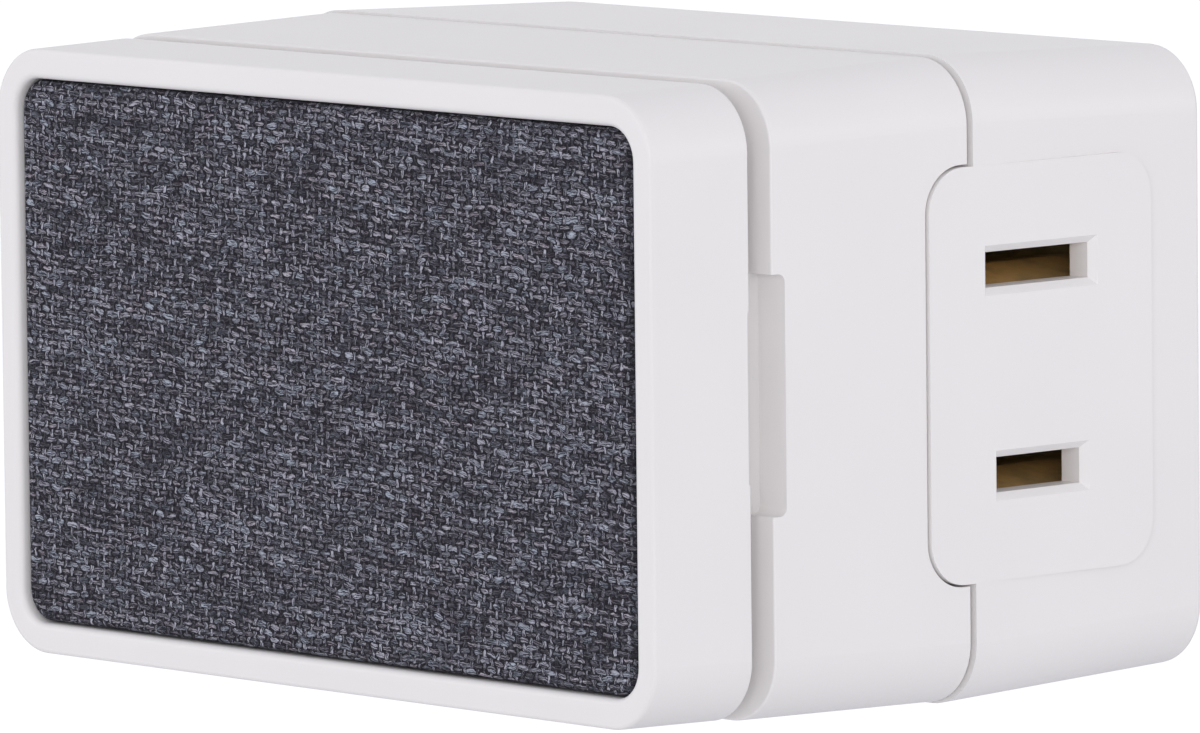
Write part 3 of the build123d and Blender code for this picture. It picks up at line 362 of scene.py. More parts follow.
@cache
def weave_effect() -> bpy.types.NodeTree:
    """Plain weave on thread counts: short fat weft floats in brick order, thin warps between.

    A float is a dome over an oval whose half length, half height and tilt are drawn for it by
    chance; the oval's share along the thread is squared, so that its ends are blunt. A warp
    is a narrow dome along its column that rises between the floats of a row and sinks under
    the next. Height is the higher of the two, and 0 in the gaps. Light is each thread's own
    lightness: slow streaks along a row, chance from float to float, and a few pale floats.
    Fibre is the fine lines that run along the thread, bowed on a float. Cast is a drift in hue.

    Returns:
        The node group.
    """
    # Scale of each wandering noise, and its share of Wobble
    drifts = ((0.13, 1.6), (1.1, 0.7), (4.3, 0.14))
    # Steps that set apart the dice of a float, the dice of a warp, and each thread's noise
    seeds, warp_seed, float_step, row_step, column_step = (0.0, 57.0, 113.0, 171.0), 31.0, 9.7, 3.3, 5.1
    # Ranges of a float's tilt, half length, half height and bow
    tilts, half_lengths, half_heights, bows = (-0.16, 0.16), (0.6, 0.86), (0.3, 0.48), (-1.8, 1.8)
    warp_half, warp_top = 0.23, 0.85
    # Fibres: how fast the noise runs along and across a float, across and along a warp
    float_runs, warp_runs, fibre_range = (0.9, 9.5), (10.0, 1.5), (0.4, 0.61)
    # Lightness: base and share of each thing that adds to it
    float_base, streak_share, chance_share, pale_share = 0.2, 0.3, 0.22, 0.3
    warp_base, warp_share = 0.17, 0.48
    streak_runs, streak_range, pale_range = (0.06, 5.37), (0.42, 0.72), (0.86, 1.0)

    effect = SharedEffect(
        "heather weave",
        {"Threads": "vector", "Wobble": "number"},
        ("Height", "Light", "Fibre", "Cast"),
    )
    g, given = effect.graph, effect.inputs

    def dome(*ratios: Value) -> Socket:
        """Half ellipsoid: 1 at the middle, 0 where the squares of the ratios add up to 1."""
        squares = (g.times(ratio, ratio) for ratio in ratios)
        return g.math("SQRT", g.math("SUBTRACT", 1.0, g.plus(*squares), clamp=True))

    # Thread counts that wander by slow, middling and quick noise
    place = given["Threads"]
    for scale, share in drifts:
        inputs = {"Vector": given["Threads"], "Scale": scale, "Detail": 2.0}
        drift = g.vector("SUBTRACT", g.node("ShaderNodeTexNoise", inputs).outputs[1], (0.5, 0.5, 0.5))
        inputs = {0: drift, 3: g.times(given["Wobble"], share)}
        step = g.node("ShaderNodeVectorMath", inputs, operation="SCALE").outputs[0]
        place = g.vector("ADD", place, step)

    # Each float's cell, and the place in it
    u, v, _ = g.split(place)
    row = g.math("FLOOR", v)
    column = g.math("ROUND", u)
    rise = g.math("COSINE", g.times(g.plus(column, v, -0.5), math.pi))
    cell = g.math("ROUND", g.times(g.plus(u, row), 0.5))
    along = g.minus(u, g.minus(g.times(cell, 2.0), row))
    across = g.plus(v, g.times(row, -1.0), -0.5)
    chance = [g.dice(g.plus(cell, seed), row) for seed in seeds]

    # Heights
    leant = g.plus(across, g.times(along, g.between(chance[2], *tilts)))
    length_share = g.math("DIVIDE", along, g.between(chance[0], *half_lengths))
    height_share = g.math("DIVIDE", leant, g.between(chance[1], *half_heights))
    weft = dome(g.times(length_share, length_share), height_share)
    warp = dome(g.math("DIVIDE", g.minus(u, column), warp_half))
    warp = g.times(warp, g.ramp(rise, 0.5, -0.4), warp_top)
    over = g.ramp(g.minus(weft, warp), -0.04, 0.04)

    # Fibres
    bow = g.times(along, along, g.between(chance[3], *bows))
    float_run = g.join(
        g.plus(g.times(along, float_runs[0]), g.times(cell, float_step)),
        g.plus(g.times(leant, float_runs[1]), bow),
        g.times(row, row_step),
    )
    warp_run = g.join(g.times(u, warp_runs[0]), g.times(v, warp_runs[1]), g.times(column, column_step))
    lines = [g.ramp(g.noise(run, scale=1.0, rough=0.6), *fibre_range) for run in (warp_run, float_run)]

    # Lightness
    streak_run = g.join(g.times(u, streak_runs[0]), g.times(row, streak_runs[1]))
    streak = g.ramp(g.noise(streak_run, scale=1.0, rough=0.6), *streak_range)
    float_light = g.plus(
        g.times(streak, streak_share),
        g.times(chance[3], chance_share),
        g.times(g.ramp(chance[2], *pale_range), pale_share),
        float_base,
    )
    warp_light = g.plus(g.times(g.dice(column, g.plus(row, warp_seed)), warp_share), warp_base)
    return effect.finish(
        Height=g.math("MAXIMUM", weft, warp),
        Light=g.between(over, warp_light, float_light),
        Fibre=g.between(over, *lines),
        Cast=g.between(over, 0.5, chance[1]),
    )


# ---- Finishes -------------------------------------------------------------------


@dataclass(frozen=True)
class Finish:
    """A named finish: each kind works out what goes into its Principled shader."""

    name: str

    def look(self, g: Graph) -> Inputs:
        """Work out the finish.

        Args:
            g: the material's graph.

        Returns:
            Value or socket for each input of the shader that isn't left as it is.
        """
        raise NotImplementedError

    def material(self) -> bpy.types.Material:
        """Make the finish the first time, and find it by its name after that.

        Returns:
            The material.
        """
        if self.name in bpy.data.materials:
            return bpy.data.materials[self.name]
        made = bpy.data.materials.new(self.name)
        made.use_nodes = True
        g = Graph(made.node_tree)
        shader = g.node("ShaderNodeBsdfPrincipled", self.look(g))
        g.node("ShaderNodeOutputMaterial", {"Surface": shader.outputs[0]})
        return made


@dataclass(frozen=True)
class MouldedPlastic(Finish):
    """Moulded plastic: a slow drift in tone and gloss over a fine even texture."""

    colour: Colour
    roughness: float = 0.4
    gloss_drift: float = 0.06
    tone_drift: float = 0.015
    texture_depth: float = 0.004 * MM
    texture_scale: float = 3500.0
    shine: float = 0.5

    def look(self, g: Graph) -> Inputs:
        """Tone and gloss that drift together, and the texture.

        Args:
            g: the material's graph.

        Returns:
            Inputs of the shader.
        """
        tone, texture = g.grain(drift_scale=90.0, texture_scale=self.texture_scale)
        return {
            "Base Color": g.fade(tone, self.colour, 1 - self.tone_drift),
            "Roughness": g.around(tone, self.roughness, self.gloss_drift / 2),
            "Normal": g.bump(texture, self.texture_depth),
            "Specular IOR Level": self.shine,
        }


@dataclass(frozen=True)
class WovenFabric(Finish):
    """Heather cloth: threads from charcoal to pale grey, painted shade in the gaps, loose hairs, and
    painted shade and shadow at the edges.
    """

    name: str = "heather cloth"
    deep: Colour = (0.010, 0.009, 0.0135)
    middle: Colour = (0.084, 0.080, 0.100)
    pale: Colour = (0.49, 0.495, 0.56)
    fibre_light: tuple[float, float] = (0.2, 1.8)
    warm_cast: Colour = (1.07, 0.98, 0.99)
    cool_cast: Colour = (0.93, 1.0, 1.04)
    relief: float = 0.12 * MM
    wobble: float = 0.95
    # Painted shade in the gaps between threads: the share of lightness left there
    gap_shade_share: float = 0.12
    fuzz_share: float = 0.2
    hair_share: float = 0.26
    hairs: tuple[tuple[float, float], ...] = ((1.3, 0.016), (2.4, 0.026))
    # Painted shade where the cloth folds back, and a painted shadow of the rim along its right edge
    fold_depth: float = 0.32 * MM
    fold_shade_share: float = 0.65
    shadow_band_width: float = 1.2 * MM
    shadow_band_share: float = 0.6

    def look(self, g: Graph) -> Inputs:
        """The weave's lightness as a colour, with painted shade and shadow at the edges, on the piece's
        thread counts.

        Args:
            g: the material's graph.

        Returns:
            Inputs of the shader.
        """
        threads = g.node("ShaderNodeUVMap", uv_map=Weave.UV_NAME).outputs[0]
        weave = g.use(weave_effect(), Threads=threads, Wobble=self.wobble)
        height, light, fibre, cast = (weave.outputs[k] for k in ("Height", "Light", "Fibre", "Cast"))
        # Painted shade in the gaps, where the threads sink
        shade = g.ramp(height, 0.0, 0.6, self.gap_shade_share, 1.0)
        value = self.fluff(g, threads, g.times(light, g.between(fibre, *self.fibre_light), shade))
        lower = g.tint(g.ramp(value, 0.0, 0.4), self.deep, self.middle)
        colour = g.tint(g.ramp(value, 0.3, 1.0), lower, self.pale)
        hue = g.tint(cast, self.warm_cast, self.cool_cast)
        colour = g.tint(1.0, colour, hue, blend="MULTIPLY")
        return {
            # Painted shade and shadow at the cloth's edges
            "Base Color": g.tint(self.edges(g), colour, self.deep),
            "Roughness": g.between(fibre, 0.78, 0.92),
            "Normal": g.bump(g.plus(height, g.times(fibre, 0.3)), self.relief),
            "Sheen Weight": 0.01,
            "Sheen Roughness": 0.5,
            "Specular IOR Level": 0.15,
        }

    def fluff(self, g: Graph, threads: Socket, value: Socket) -> Socket:
        """Lay fine fuzz and loose hairs over the threads.

        A hair is the thin line where a slow noise passes its middle, in patches only.

        Args:
            g: the material's graph.
            threads: thread counts.
            value: lightness of the threads.

        Returns:
            The lightness with fuzz and hairs.
        """
        fuzz = g.noise(threads, scale=4.2, detail=3.0, rough=0.7)
        value = g.plus(value, g.ramp(fuzz, 0.42, 0.8, 0.0, self.fuzz_share))
        for scale, thin in self.hairs:
            strand = g.off(g.noise(threads, scale, detail=1.0), 0.5)
            patch = g.ramp(g.noise(threads, 0.4 * scale, detail=1.0), 0.46, 0.6)
            hair = g.times(g.ramp(strand, thin, 0.0), patch)
            value = g.math("ADD", value, g.times(hair, self.hair_share), clamp=True)
        return value

    def edges(self, g: Graph) -> Socket:
        """Paint shade on the cloth where it folds back under the rim, and a shadow of the rim in a band
        along its right edge.

        Args:
            g: the material's graph.

        Returns:
            Share of the deep colour, which is the painted shade and shadow.
        """
        x, depth, _ = g.split(g.place())
        low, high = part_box("fabric_cover")
        # Painted shade where the cloth folds back under the rim
        fold_shade = g.ramp(depth, low.y + 0.04 * MM, low.y + self.fold_depth, 0.0, self.fold_shade_share)
        # Painted shadow of the rim, in a band along the right edge
        band = g.ramp(x, high.x - self.shadow_band_width, high.x - self.shadow_band_width / 3, 0.0, self.shadow_band_share)
        return g.math("MAXIMUM", fold_shade, band)


class Along(Enum):
    """Way that a rolled metal's lines run, with the stretch of its noise on X, Y and Z."""

    ACROSS = (300.0, 9000.0, 9000.0)
    DEEP = (9000.0, 300.0, 9000.0)
    TURNED = (5000.0, 5000.0, 5000.0)


@dataclass(frozen=True)
class BrushedMetal(Finish):
    """Plated or rolled metal with fine lines and faint stains."""

    colour: Colour
    roughness: float = 0.28
    along: Along = Along.TURNED
    stain: float = 0.12
    gloss_drift: float = 0.06
    line_depth: float = 0.002 * MM

    def look(self, g: Graph) -> Inputs:
        """Lines in the gloss and relief, and stains that are darker and less glossy.

        Args:
            g: the material's graph.

        Returns:
            Inputs of the shader.
        """
        brush = g.use(brush_effect(), Vector=g.place(), Stretch=self.along.value)
        lines, stain = brush.outputs["Lines"], brush.outputs["Stain"]
        gloss = g.around(lines, self.roughness, self.gloss_drift)
        return {
            "Base Color": g.tint(stain, self.colour, scaled(self.colour, 1 - self.stain)),
            "Metallic": 1.0,
            "Roughness": g.plus(gloss, g.times(stain, self.gloss_drift)),
            "Normal": g.bump(lines, self.line_depth),
        }


@dataclass(frozen=True)
class ClearPlastic(Finish):
    """Clear, tinted or hazy moulded plastic that light passes through, with faint waves in its gloss."""

    colour: Colour
    roughness: float = 0.04
    haze: float = 0.0

    def look(self, g: Graph) -> Inputs:
        """Tone and gloss that drift together, under what the haze leaves of the light's way through.

        Args:
            g: the material's graph.

        Returns:
            Inputs of the shader.
        """
        tone, texture = g.grain(drift_scale=120.0, texture_scale=1800.0)
        return {
            "Base Color": g.fade(tone, self.colour, 0.98),
            "Roughness": g.between(tone, self.roughness, self.roughness + 0.03),
            "Normal": g.bump(texture, depth=0.0006 * MM),
            "Transmission Weight": 1.0 - self.haze,
            "IOR": 1.49,
        }


def frame_line(g: Graph, node: str, inset: tuple[float, float], radius: float, width: float) -> Inputs:
    """Rounded frame line on the front of a solid.

    Args:
        g: the material's graph.
        node: the solid's name.
        inset: how far the line lies in from the solid's box, across and up.
        radius: radius of its corners.
        width: width of the line.

    Returns:
        The masks of the line and of what lies inside it, as Line and Inside.
    """
    middle, half = middle_and_half(node)
    centred = g.vector("SUBTRACT", g.place(), tuple(middle))
    made = g.use(
        frame_line_effect(), Vector=centred, Half_Width=half[0] - inset[0],
        Half_Height=half[2] - inset[1], Radius=radius, Width=width,
    )
    return {name: made.outputs[name] for name in ("Line", "Inside")}


@dataclass(frozen=True)
class DisplayFilm(Finish):
    """Liquid-crystal glass: a grey-green cell, lighter in its active field, under a gloss coat."""

    name: str = "display glass"
    field_colour: Colour = (0.40, 0.45, 0.38)
    edge_colour: Colour = (0.20, 0.23, 0.20)
    field_inset: tuple[float, float] = (1.1 * MM, 1.6 * MM)

    def look(self, g: Graph) -> Inputs:
        """The field inside its thin dark line, and the coat.

        Args:
            g: the material's graph.

        Returns:
            Inputs of the shader.
        """
        masks = frame_line(g, "display_glass", self.field_inset, radius=0.4 * MM, width=0.12 * MM)
        tone, texture = g.grain(drift_scale=70.0, texture_scale=6000.0)
        body = g.tint(masks["Inside"], self.edge_colour, g.fade(tone, self.field_colour, 0.95))
        return {
            "Base Color": g.tint(masks["Line"], body, scaled(self.edge_colour, 0.6)),
            "Roughness": g.between(texture, 0.3, 0.4),
            "Coat Weight": 1.0,
            "Coat Roughness": 0.04,
        }


@dataclass(frozen=True)
class PrintedFilm(Finish):
    """Satin film over the control face, with a fine frame line near its edge."""

    name: str = "fascia film"
    colour: Colour = (0.56, 0.57, 0.59)
    line_colour: Colour = (0.20, 0.21, 0.23)
    line_inset: tuple[float, float] = (1.0 * MM, 1.0 * MM)

    def look(self, g: Graph) -> Inputs:
        """The line on the film.

        Args:
            g: the material's graph.

        Returns:
            Inputs of the shader.
        """
        masks = frame_line(g, "fascia_label", self.line_inset, radius=1.4 * MM, width=0.22 * MM)
        tone, texture = g.grain(drift_scale=60.0, texture_scale=5000.0)
        return {
            "Base Color": g.tint(masks["Line"], g.fade(tone, self.colour, 0.975), self.line_colour),
            "Roughness": g.between(texture, 0.36, 0.5),
            "Normal": g.bump(texture, depth=0.004 * MM),
        }


@dataclass(frozen=True)
class BoardMask(Finish):
    """Solder mask over etched tracks, which show lighter and stand a little proud."""

    name: str = "board mask"
    colour: Colour = (0.016, 0.125, 0.052)
    track_colour: Colour = (0.045, 0.235, 0.10)
    pitch: float = 1.27 * MM

    def look(self, g: Graph) -> Inputs:
        """The tracks under the mask.

        Args:
            g: the material's graph.

        Returns:
            Inputs of the shader.
        """
        track = g.use(track_effect(), Vector=g.place(), Pitch=self.pitch).outputs["Track"]
        tone, texture = g.grain(drift_scale=150.0, texture_scale=2600.0)
        return {
            "Base Color": g.tint(track, g.fade(tone, self.colour, 0.9), self.track_colour),
            "Roughness": g.between(texture, 0.25, 0.38),
            "Normal": g.bump(g.plus(track, g.times(texture, 0.2)), depth=0.03 * MM),
        }


@dataclass(frozen=True)
class LayeredRubber(Finish):
    """Contact rubber: thin dark carbon layers between soft pink ones, across its length."""

    name: str = "contact rubber"
    soft: Colour = (0.52, 0.24, 0.26)
    carbon: Colour = (0.03, 0.03, 0.032)
    pitch: float = 0.25 * MM

    def look(self, g: Graph) -> Inputs:
        """The layers, told apart by how far a point lies from the middle of one.

        Args:
            g: the material's graph.

        Returns:
            Inputs of the shader.
        """
        x, _, _ = g.split(g.place())
        layer = g.off(g.math("FRACT", g.math("DIVIDE", x, self.pitch)), 0.5)
        tone, texture = g.grain(drift_scale=200.0, texture_scale=4000.0)
        return {
            "Base Color": g.tint(g.ramp(layer, 0.2, 0.28), self.carbon, self.soft),
            "Roughness": g.between(tone, 0.6, 0.75),
            "Normal": g.bump(texture, depth=0.01 * MM),
        }


class Axis(Enum):
    """Axis that a component's slabs are measured on."""

    X = 0
    Y = 1
    Z = 2


@dataclass(frozen=True)
class Band:
    """A slab of another colour across a component: its place, half width and share of metal."""

    at: float
    half: float
    colour: Colour
    metal: float = 0.0


@dataclass(frozen=True)
class LeadedBody(Finish):
    """A component with a lacquered or moulded body and tinned leads, told apart by a slab.

    The body lies where the chosen coordinate is within half of middle. Bands are further
    slabs on the body, such as a polarity band or end caps.
    """

    colour: Colour
    axis: Axis
    middle: float
    half: float
    roughness: float = 0.35
    bands: tuple[Band, ...] = ()
    lead_colour: Colour = (0.66, 0.65, 0.62)

    def look(self, g: Graph) -> Inputs:
        """The bands on the body, then the body on the leads.

        Args:
            g: the material's graph.

        Returns:
            Inputs of the shader.
        """
        coordinate = g.split(g.place())[self.axis.value]
        tone, texture = g.grain(drift_scale=300.0, texture_scale=2200.0)
        colour = g.fade(tone, self.colour, 0.88)
        metal: Value = 0.0
        for band in self.bands:
            mask = g.use(slab_effect(), Place=coordinate, Middle=band.at, Half=band.half).outputs[0]
            colour = g.tint(mask, colour, band.colour)
            metal = g.between(mask, metal, band.metal)
        body = g.use(slab_effect(), Place=coordinate, Middle=self.middle, Half=self.half).outputs[0]
        return {
            "Base Color": g.tint(body, self.lead_colour, colour),
            "Metallic": g.between(body, 1.0, metal),
            "Roughness": g.around(tone, self.roughness, 0.05),
            "Normal": g.bump(texture, depth=0.006 * MM),
        }


@dataclass(frozen=True)
class PaleFloor(Finish):
    """Matt floor that gives off a little light to the camera, so that it looks white there."""

    name: str = "pale floor"
    colour: Colour = (0.9, 0.9, 0.9)
    low_colour: Colour = (0.89, 0.89, 0.89)
    lift: float = 0.42

    def look(self, g: Graph) -> Inputs:
        """A faint drift in tone, and the light for the camera's own rays.

        Args:
            g: the material's graph.

        Returns:
            Inputs of the shader.
        """
        tone, _ = g.grain(drift_scale=8.0, texture_scale=400.0)
        camera_ray = g.node("ShaderNodeLightPath").outputs["Is Camera Ray"]
        return {
            "Base Color": g.tint(tone, self.low_colour, self.colour),
            "Roughness": 0.9,
            "Specular IOR Level": 0.0,
            "Emission Color": (1.0, 1.0, 1.0, 1.0),
            "Emission Strength": g.times(camera_ray, self.lift),
        }


# ---- Meshes ---------------------------------------------------------------------


def add_piece(
    name: str, points: np.ndarray, faces: list[list[int]],
    maps: dict[str, np.ndarray] | None = None, smooth: bool = True,
) -> bpy.types.Object:
    """Make a mesh object at the origin.

    Args:
        name: the piece's name.
        points: one row of X, Y and Z in metres for each vertex.
        faces: the vertex numbers of each face.
        maps: UV of each vertex, by the name of its map.
        smooth: whether the faces are shaded as one round surface.

    Returns:
        The new object, linked to the scene.
    """
    mesh = bpy.data.meshes.new(name)
    mesh.from_pydata(points.tolist(), [], faces)
    mesh.polygons.foreach_set("use_smooth", np.full(len(faces), smooth))
    corners = [number for face in faces for number in face]
    for label, places in (maps or {}).items():
        mesh.uv_layers.new(name=label).data.foreach_set("uv", places[corners].astype(np.float32).ravel())
    mesh.validate()
    mesh.update()
    piece = bpy.data.objects.new(name, mesh)
    bpy.context.scene.collection.objects.link(piece)
    return piece


def grid_faces(rows: int, columns: int) -> np.ndarray:
    """Quads of a grid numbered row by row, which face -Y where rows rise along Z, columns along X."""
    start = (np.arange(rows - 1)[:, None] * columns + np.arange(columns - 1)).ravel()
    return np.stack([start, start + 1, start + columns + 1, start + columns], axis=1)


def add_prisms(name: str, outlines: np.ndarray, front_y: float, rear_y: float) -> bpy.types.Object:
    """Make one object of flat prisms with the same number of sides, seen from -Y.

    Each outline is repeated at the two depths. The front cap keeps the outline's order, the
    rear cap turns it, and side k joins corner k to corner k + 1.

    Args:
        name: the piece's name.
        outlines: number of prisms by number of corners by (x, z), anticlockwise from the front.
        front_y: depth of the front caps.
        rear_y: depth of the rear caps.

    Returns:
        The new object, with flat faces.
    """
    count, corners = outlines.shape[:2]
    depth = np.broadcast_to(np.array([front_y, rear_y])[None, :, None], (count, 2, corners))
    flat = np.broadcast_to(outlines[:, None], (count, 2, corners, 2))
    points = np.stack([flat[..., 0], depth, flat[..., 1]], axis=-1).reshape(-1, 3)
    base = np.arange(count)[:, None] * 2 * corners
    ring = np.arange(corners)
    caps = np.concatenate([base + ring, base + corners + ring[::-1]])
    after = (ring + 1) % corners
    walls = np.stack([base + ring, base + corners + ring, base + corners + after, base + after], axis=-1)
    return add_piece(name, points, caps.tolist() + walls.reshape(-1, 4).tolist(), smooth=False)


def bars(ends: np.ndarray, width: float) -> np.ndarray:
    """Outlines of straight bars: each pair of ends is widened at right angles to its run.

    Args:
        ends: number of bars by the two ends by (x, z).
        width: width of a bar.

    Returns:
        Number of bars by four corners by (x, z), anticlockwise.
    """
    run = ends[:, 1] - ends[:, 0]
    run = run / np.linalg.norm(run, axis=1, keepdims=True)
    side = np.stack([-run[:, 1], run[:, 0]], axis=1) * width / 2
    return np.stack([ends[:, 0] - side, ends[:, 1] - side, ends[:, 1] + side, ends[:, 0] + side], axis=1)


def arc_bars(radius: float, width: float, start: float, end: float, steps: int) -> np.ndarray:
    """Outlines of a ring's pieces: each spans one step of angle between two radii.

    Args:
        radius: radius of the ring's middle.
        width: width of the ring.
        start: angle where the ring begins, in degrees from +X towards +Z.
        end: angle where it ends.
        steps: number of pieces.

    Returns:
        Number of pieces by four corners by (x, z), anticlockwise.
    """
    angle = np.radians(np.linspace(start, end, steps + 1))
    way = np.stack([np.cos(angle), np.sin(angle)], axis=1)
    inner, outer = way * (radius - width / 2), way * (radius + width / 2)
    return np.stack([inner[:-1], outer[:-1], outer[1:], inner[1:]], axis=1)


# ---- Sub-assemblies ----------------------------------------------------------------


def dress(finish: Finish, *nodes: str) -> None:
    """Give imported solids their finish in each of their material slots.

    Args:
        finish: the finish that they share.
        nodes: names of the solids.
    """
    for node in nodes:
        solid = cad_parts[node]
        if not solid.material_slots:
            solid.data.materials.append(finish.material())
        for slot in solid.material_slots:
            slot.material = finish.material()
        log.info("%s: %s", node, finish.name)


def dress_piece(piece: bpy.types.Object, finish: Finish, body: str) -> bpy.types.Object:
    """Give a new piece its finish and the body that it rides on.

    Args:
        piece: the new piece.
        finish: its finish.
        body: the body's name.

    Returns:
        The same piece.
    """
    piece.data.materials.append(finish.material())
    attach(piece, body)
    log.info("%s: %d faces, rides on %s", piece.name, len(piece.data.polygons), body)
    return piece


SHELL = MouldedPlastic(
    "white shell", (0.845, 0.818, 0.808), roughness=0.4, gloss_drift=0.05,
    texture_depth=0.003 * MM, texture_scale=2600.0, shine=0.35,
)
STEEL = BrushedMetal("plain steel", (0.60, 0.60, 0.62), roughness=0.3, stain=0.08)
NICKEL = BrushedMetal("nickel plate", (0.72, 0.70, 0.68), roughness=0.2, stain=0.05)
GOLD = BrushedMetal("gold plate", (0.95, 0.68, 0.28), roughness=0.22, stain=0.04)
BRASS = BrushedMetal("contact brass", (0.92, 0.73, 0.41), roughness=0.52, along=Along.ACROSS, stain=0.3)
BLACK = MouldedPlastic(
    "black plastic", (0.022, 0.022, 0.024), roughness=0.45, tone_drift=0.2, texture_depth=0.006 * MM
)
MARK = MouldedPlastic("mark print", (0.74, 0.75, 0.77), roughness=0.5, texture_depth=0.002 * MM)
TINNED: Colour = (0.7, 0.69, 0.66)


@dataclass(frozen=True)
class Weave:
    """How the threads of the front cloth cross, in thread counts and heights from -1 to 1."""

    warp_pitch: float = 0.590 * MM
    weft_pitch: float = 0.434 * MM
    turn: float = math.radians(-2.7)
    crimp: float = 0.5
    weft_round: float = 0.9
    warp_round: float = 0.35
    warp_half: float = 0.21

    UV_NAME = "threads"

    def counts(self, x: np.ndarray, z: np.ndarray) -> np.ndarray:
        """Thread counts of flat places: turned by the cloth's angle, then divided by the pitches.

        Args:
            x: places across, from the middle.
            z: places up, from the middle.

        Returns:
            The counts of warps and wefts, on a last axis of two.
        """
        along = x * math.cos(self.turn) + z * math.sin(self.turn)
        across = z * math.cos(self.turn) - x * math.sin(self.turn)
        return np.stack([along / self.warp_pitch, across / self.weft_pitch], axis=-1)

    def height(self, counts: np.ndarray) -> np.ndarray:
        """Height of the cloth: the weft's cosine wave plus its round section, against the warp's.

        Args:
            counts: thread counts, on a last axis of two.

        Returns:
            The higher of the two threads, from about 0 to 1.
        """
        u, v = counts[..., 0], counts[..., 1]
        weft = self.crimp * np.cos(np.pi * (u + np.floor(v)))
        weft = weft + self.weft_round * np.sqrt(np.clip(1 - ((v % 1 - 0.5) / 0.5) ** 2, 0, 1))
        warp = -self.crimp * np.cos(np.pi * (np.round(u) + v - 0.5)) + self.warp_round
        warp = np.where(np.abs(u - np.round(u)) < self.warp_half, warp, -1.0)
        return (np.maximum(weft, warp) + self.crimp) / (2 * self.crimp + self.weft_round)


@dataclass
class Door:
    """The hinged door: its white rim, and the cloth stretched over its insert."""

    edge_round: float = 0.45 * MM
    corner_radius: float = 2.0 * MM
    column_step: float = 0.16 * MM
    row_step: float = 0.145 * MM
    edge_steps: int = 8
    corner_steps: int = 14
    wrap_steps: int = 3
    relief: float = 0.03 * MM
    weave: Weave = Weave()

    def build(self) -> None:
        """Dress the door's solids and stretch the cloth over its insert."""
        tape = MouldedPlastic("adhesive sheet", (0.70, 0.69, 0.63), roughness=0.6, texture_depth=0.02 * MM)
        dress(SHELL, "door_frame")
        dress(BLACK, "insert_board")
        dress(tape, "insert_adhesive")
        dress(NICKEL, "door_magnet")
        dress(STEEL, "hinge_pins")
        self.cloth()

    def cloth(self) -> bpy.types.Object:
        """Stretch the cloth over the insert's front and wrap it round its edges.

        A point's place is (s, t) on a grid: t picks the height, s runs from the left outline
        to the right one at that height. Within the edge's radius of the outline the surface
        falls back on a quarter circle, and rings then carry it straight back. The relief of
        the threads stands along the surface's own normal. Thread counts and the flat pattern
        are taken where the surface lies when it is unrolled.

        Returns:
            The cloth.
        """
        (middle_x, middle_y, middle_z), (half_x, half_y, half_z) = middle_and_half("fabric_cover")
        bend = self.edge_round
        x, z = self.grid(half_x, half_z)
        gap, out_x, out_z = self.outline_gap(x, z, half_x, half_z)
        run = np.clip(bend - gap, 0, bend)
        drop = bend - np.sqrt(np.clip(bend**2 - run**2, 0, None))
        unrolled = bend * np.arcsin(np.clip(run / bend, 0, 1)) - run
        lean = run / bend
        counts = self.weave.counts(x + out_x * unrolled, z + out_z * unrolled)
        lift = self.relief * (self.weave.height(counts) - 1)
        upright = np.sqrt(np.clip(1 - lean**2, 0, None))
        front = np.stack(
            [
                middle_x + x + out_x * lean * lift,
                middle_y - half_y + drop - upright * lift,
                middle_z + z + out_z * lean * lift,
            ],
            axis=-1,
        ).reshape(-1, 3)
        rows, columns = x.shape
        number = np.arange(rows * columns).reshape(rows, columns)
        rim = np.concatenate([number[0], number[1:, -1], number[-1, -2::-1], number[-2:0:-1, 0]])
        flat = np.stack([x + out_x * unrolled, z + out_z * unrolled], axis=-1).reshape(-1, 2)
        out = np.stack([out_x, out_z], axis=-1).reshape(-1, 2)
        points, places, faces = [front], [flat], [grid_faces(rows, columns)]
        ring = rim
        for step in range(1, self.wrap_steps + 1):
            back = (2 * half_y - bend) * step / self.wrap_steps
            wall = front[rim] + np.array([0.0, back, 0.0])
            following = rows * columns + (step - 1) * len(rim) + np.arange(len(rim))
            faces.append(np.stack([ring, following, np.roll(following, -1), np.roll(ring, -1)], axis=1))
            points.append(wall)
            places.append(flat[rim] + out[rim] * back)
            ring = following
        points_all, places_all = np.concatenate(points), np.concatenate(places)
        span = places_all.max(0) - places_all.min(0)
        maps = {
            Weave.UV_NAME: self.weave.counts(places_all[:, 0], places_all[:, 1]),
            "OFBake": (places_all - places_all.min(0)) / span,
        }
        cloth = add_piece("woven_fabric", points_all, np.concatenate(faces).tolist(), maps)
        cloth.data.uv_layers.active = cloth.data.uv_layers["OFBake"]
        dress_piece(cloth, WovenFabric(), "door")
        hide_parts("fabric_cover")
        return cloth

    def grid(self, half_x: float, half_z: float) -> tuple[np.ndarray, np.ndarray]:
        """Places of the front's grid.

        Rows stand at even heights between the corners and at even angles round them. In a row
        the columns are even up to the rounded edges, and follow their quarter circles there.

        Args:
            half_x: half of the outline's width.
            half_z: half of its height.

        Returns:
            The places across and up from the middle, each rows by columns.
        """
        radius, bend = self.corner_radius, self.edge_round
        angle = np.linspace(0, np.pi / 2, self.corner_steps + 1)
        straight = half_z - radius
        middle = np.linspace(-straight, straight, int(2 * straight / self.row_step) + 1)
        corner = straight + radius * np.sin(angle[1:])
        z_rows = np.concatenate([-corner[::-1], middle, corner])
        beyond = np.clip(np.abs(z_rows) - straight, 0, radius)
        reach = (half_x - radius + np.sqrt(np.clip(radius**2 - beyond**2, 0, None)))[:, None]
        edge = bend * (1 - np.cos(np.linspace(0, np.pi / 2, self.edge_steps + 1)))[:-1]
        share = np.linspace(-1, 1, int(2 * (half_x - bend) / self.column_step) + 1)
        x = np.concatenate([-reach + edge, (reach - bend) * share, (reach - edge)[:, ::-1]], axis=1)
        return x, np.broadcast_to(z_rows[:, None], x.shape)

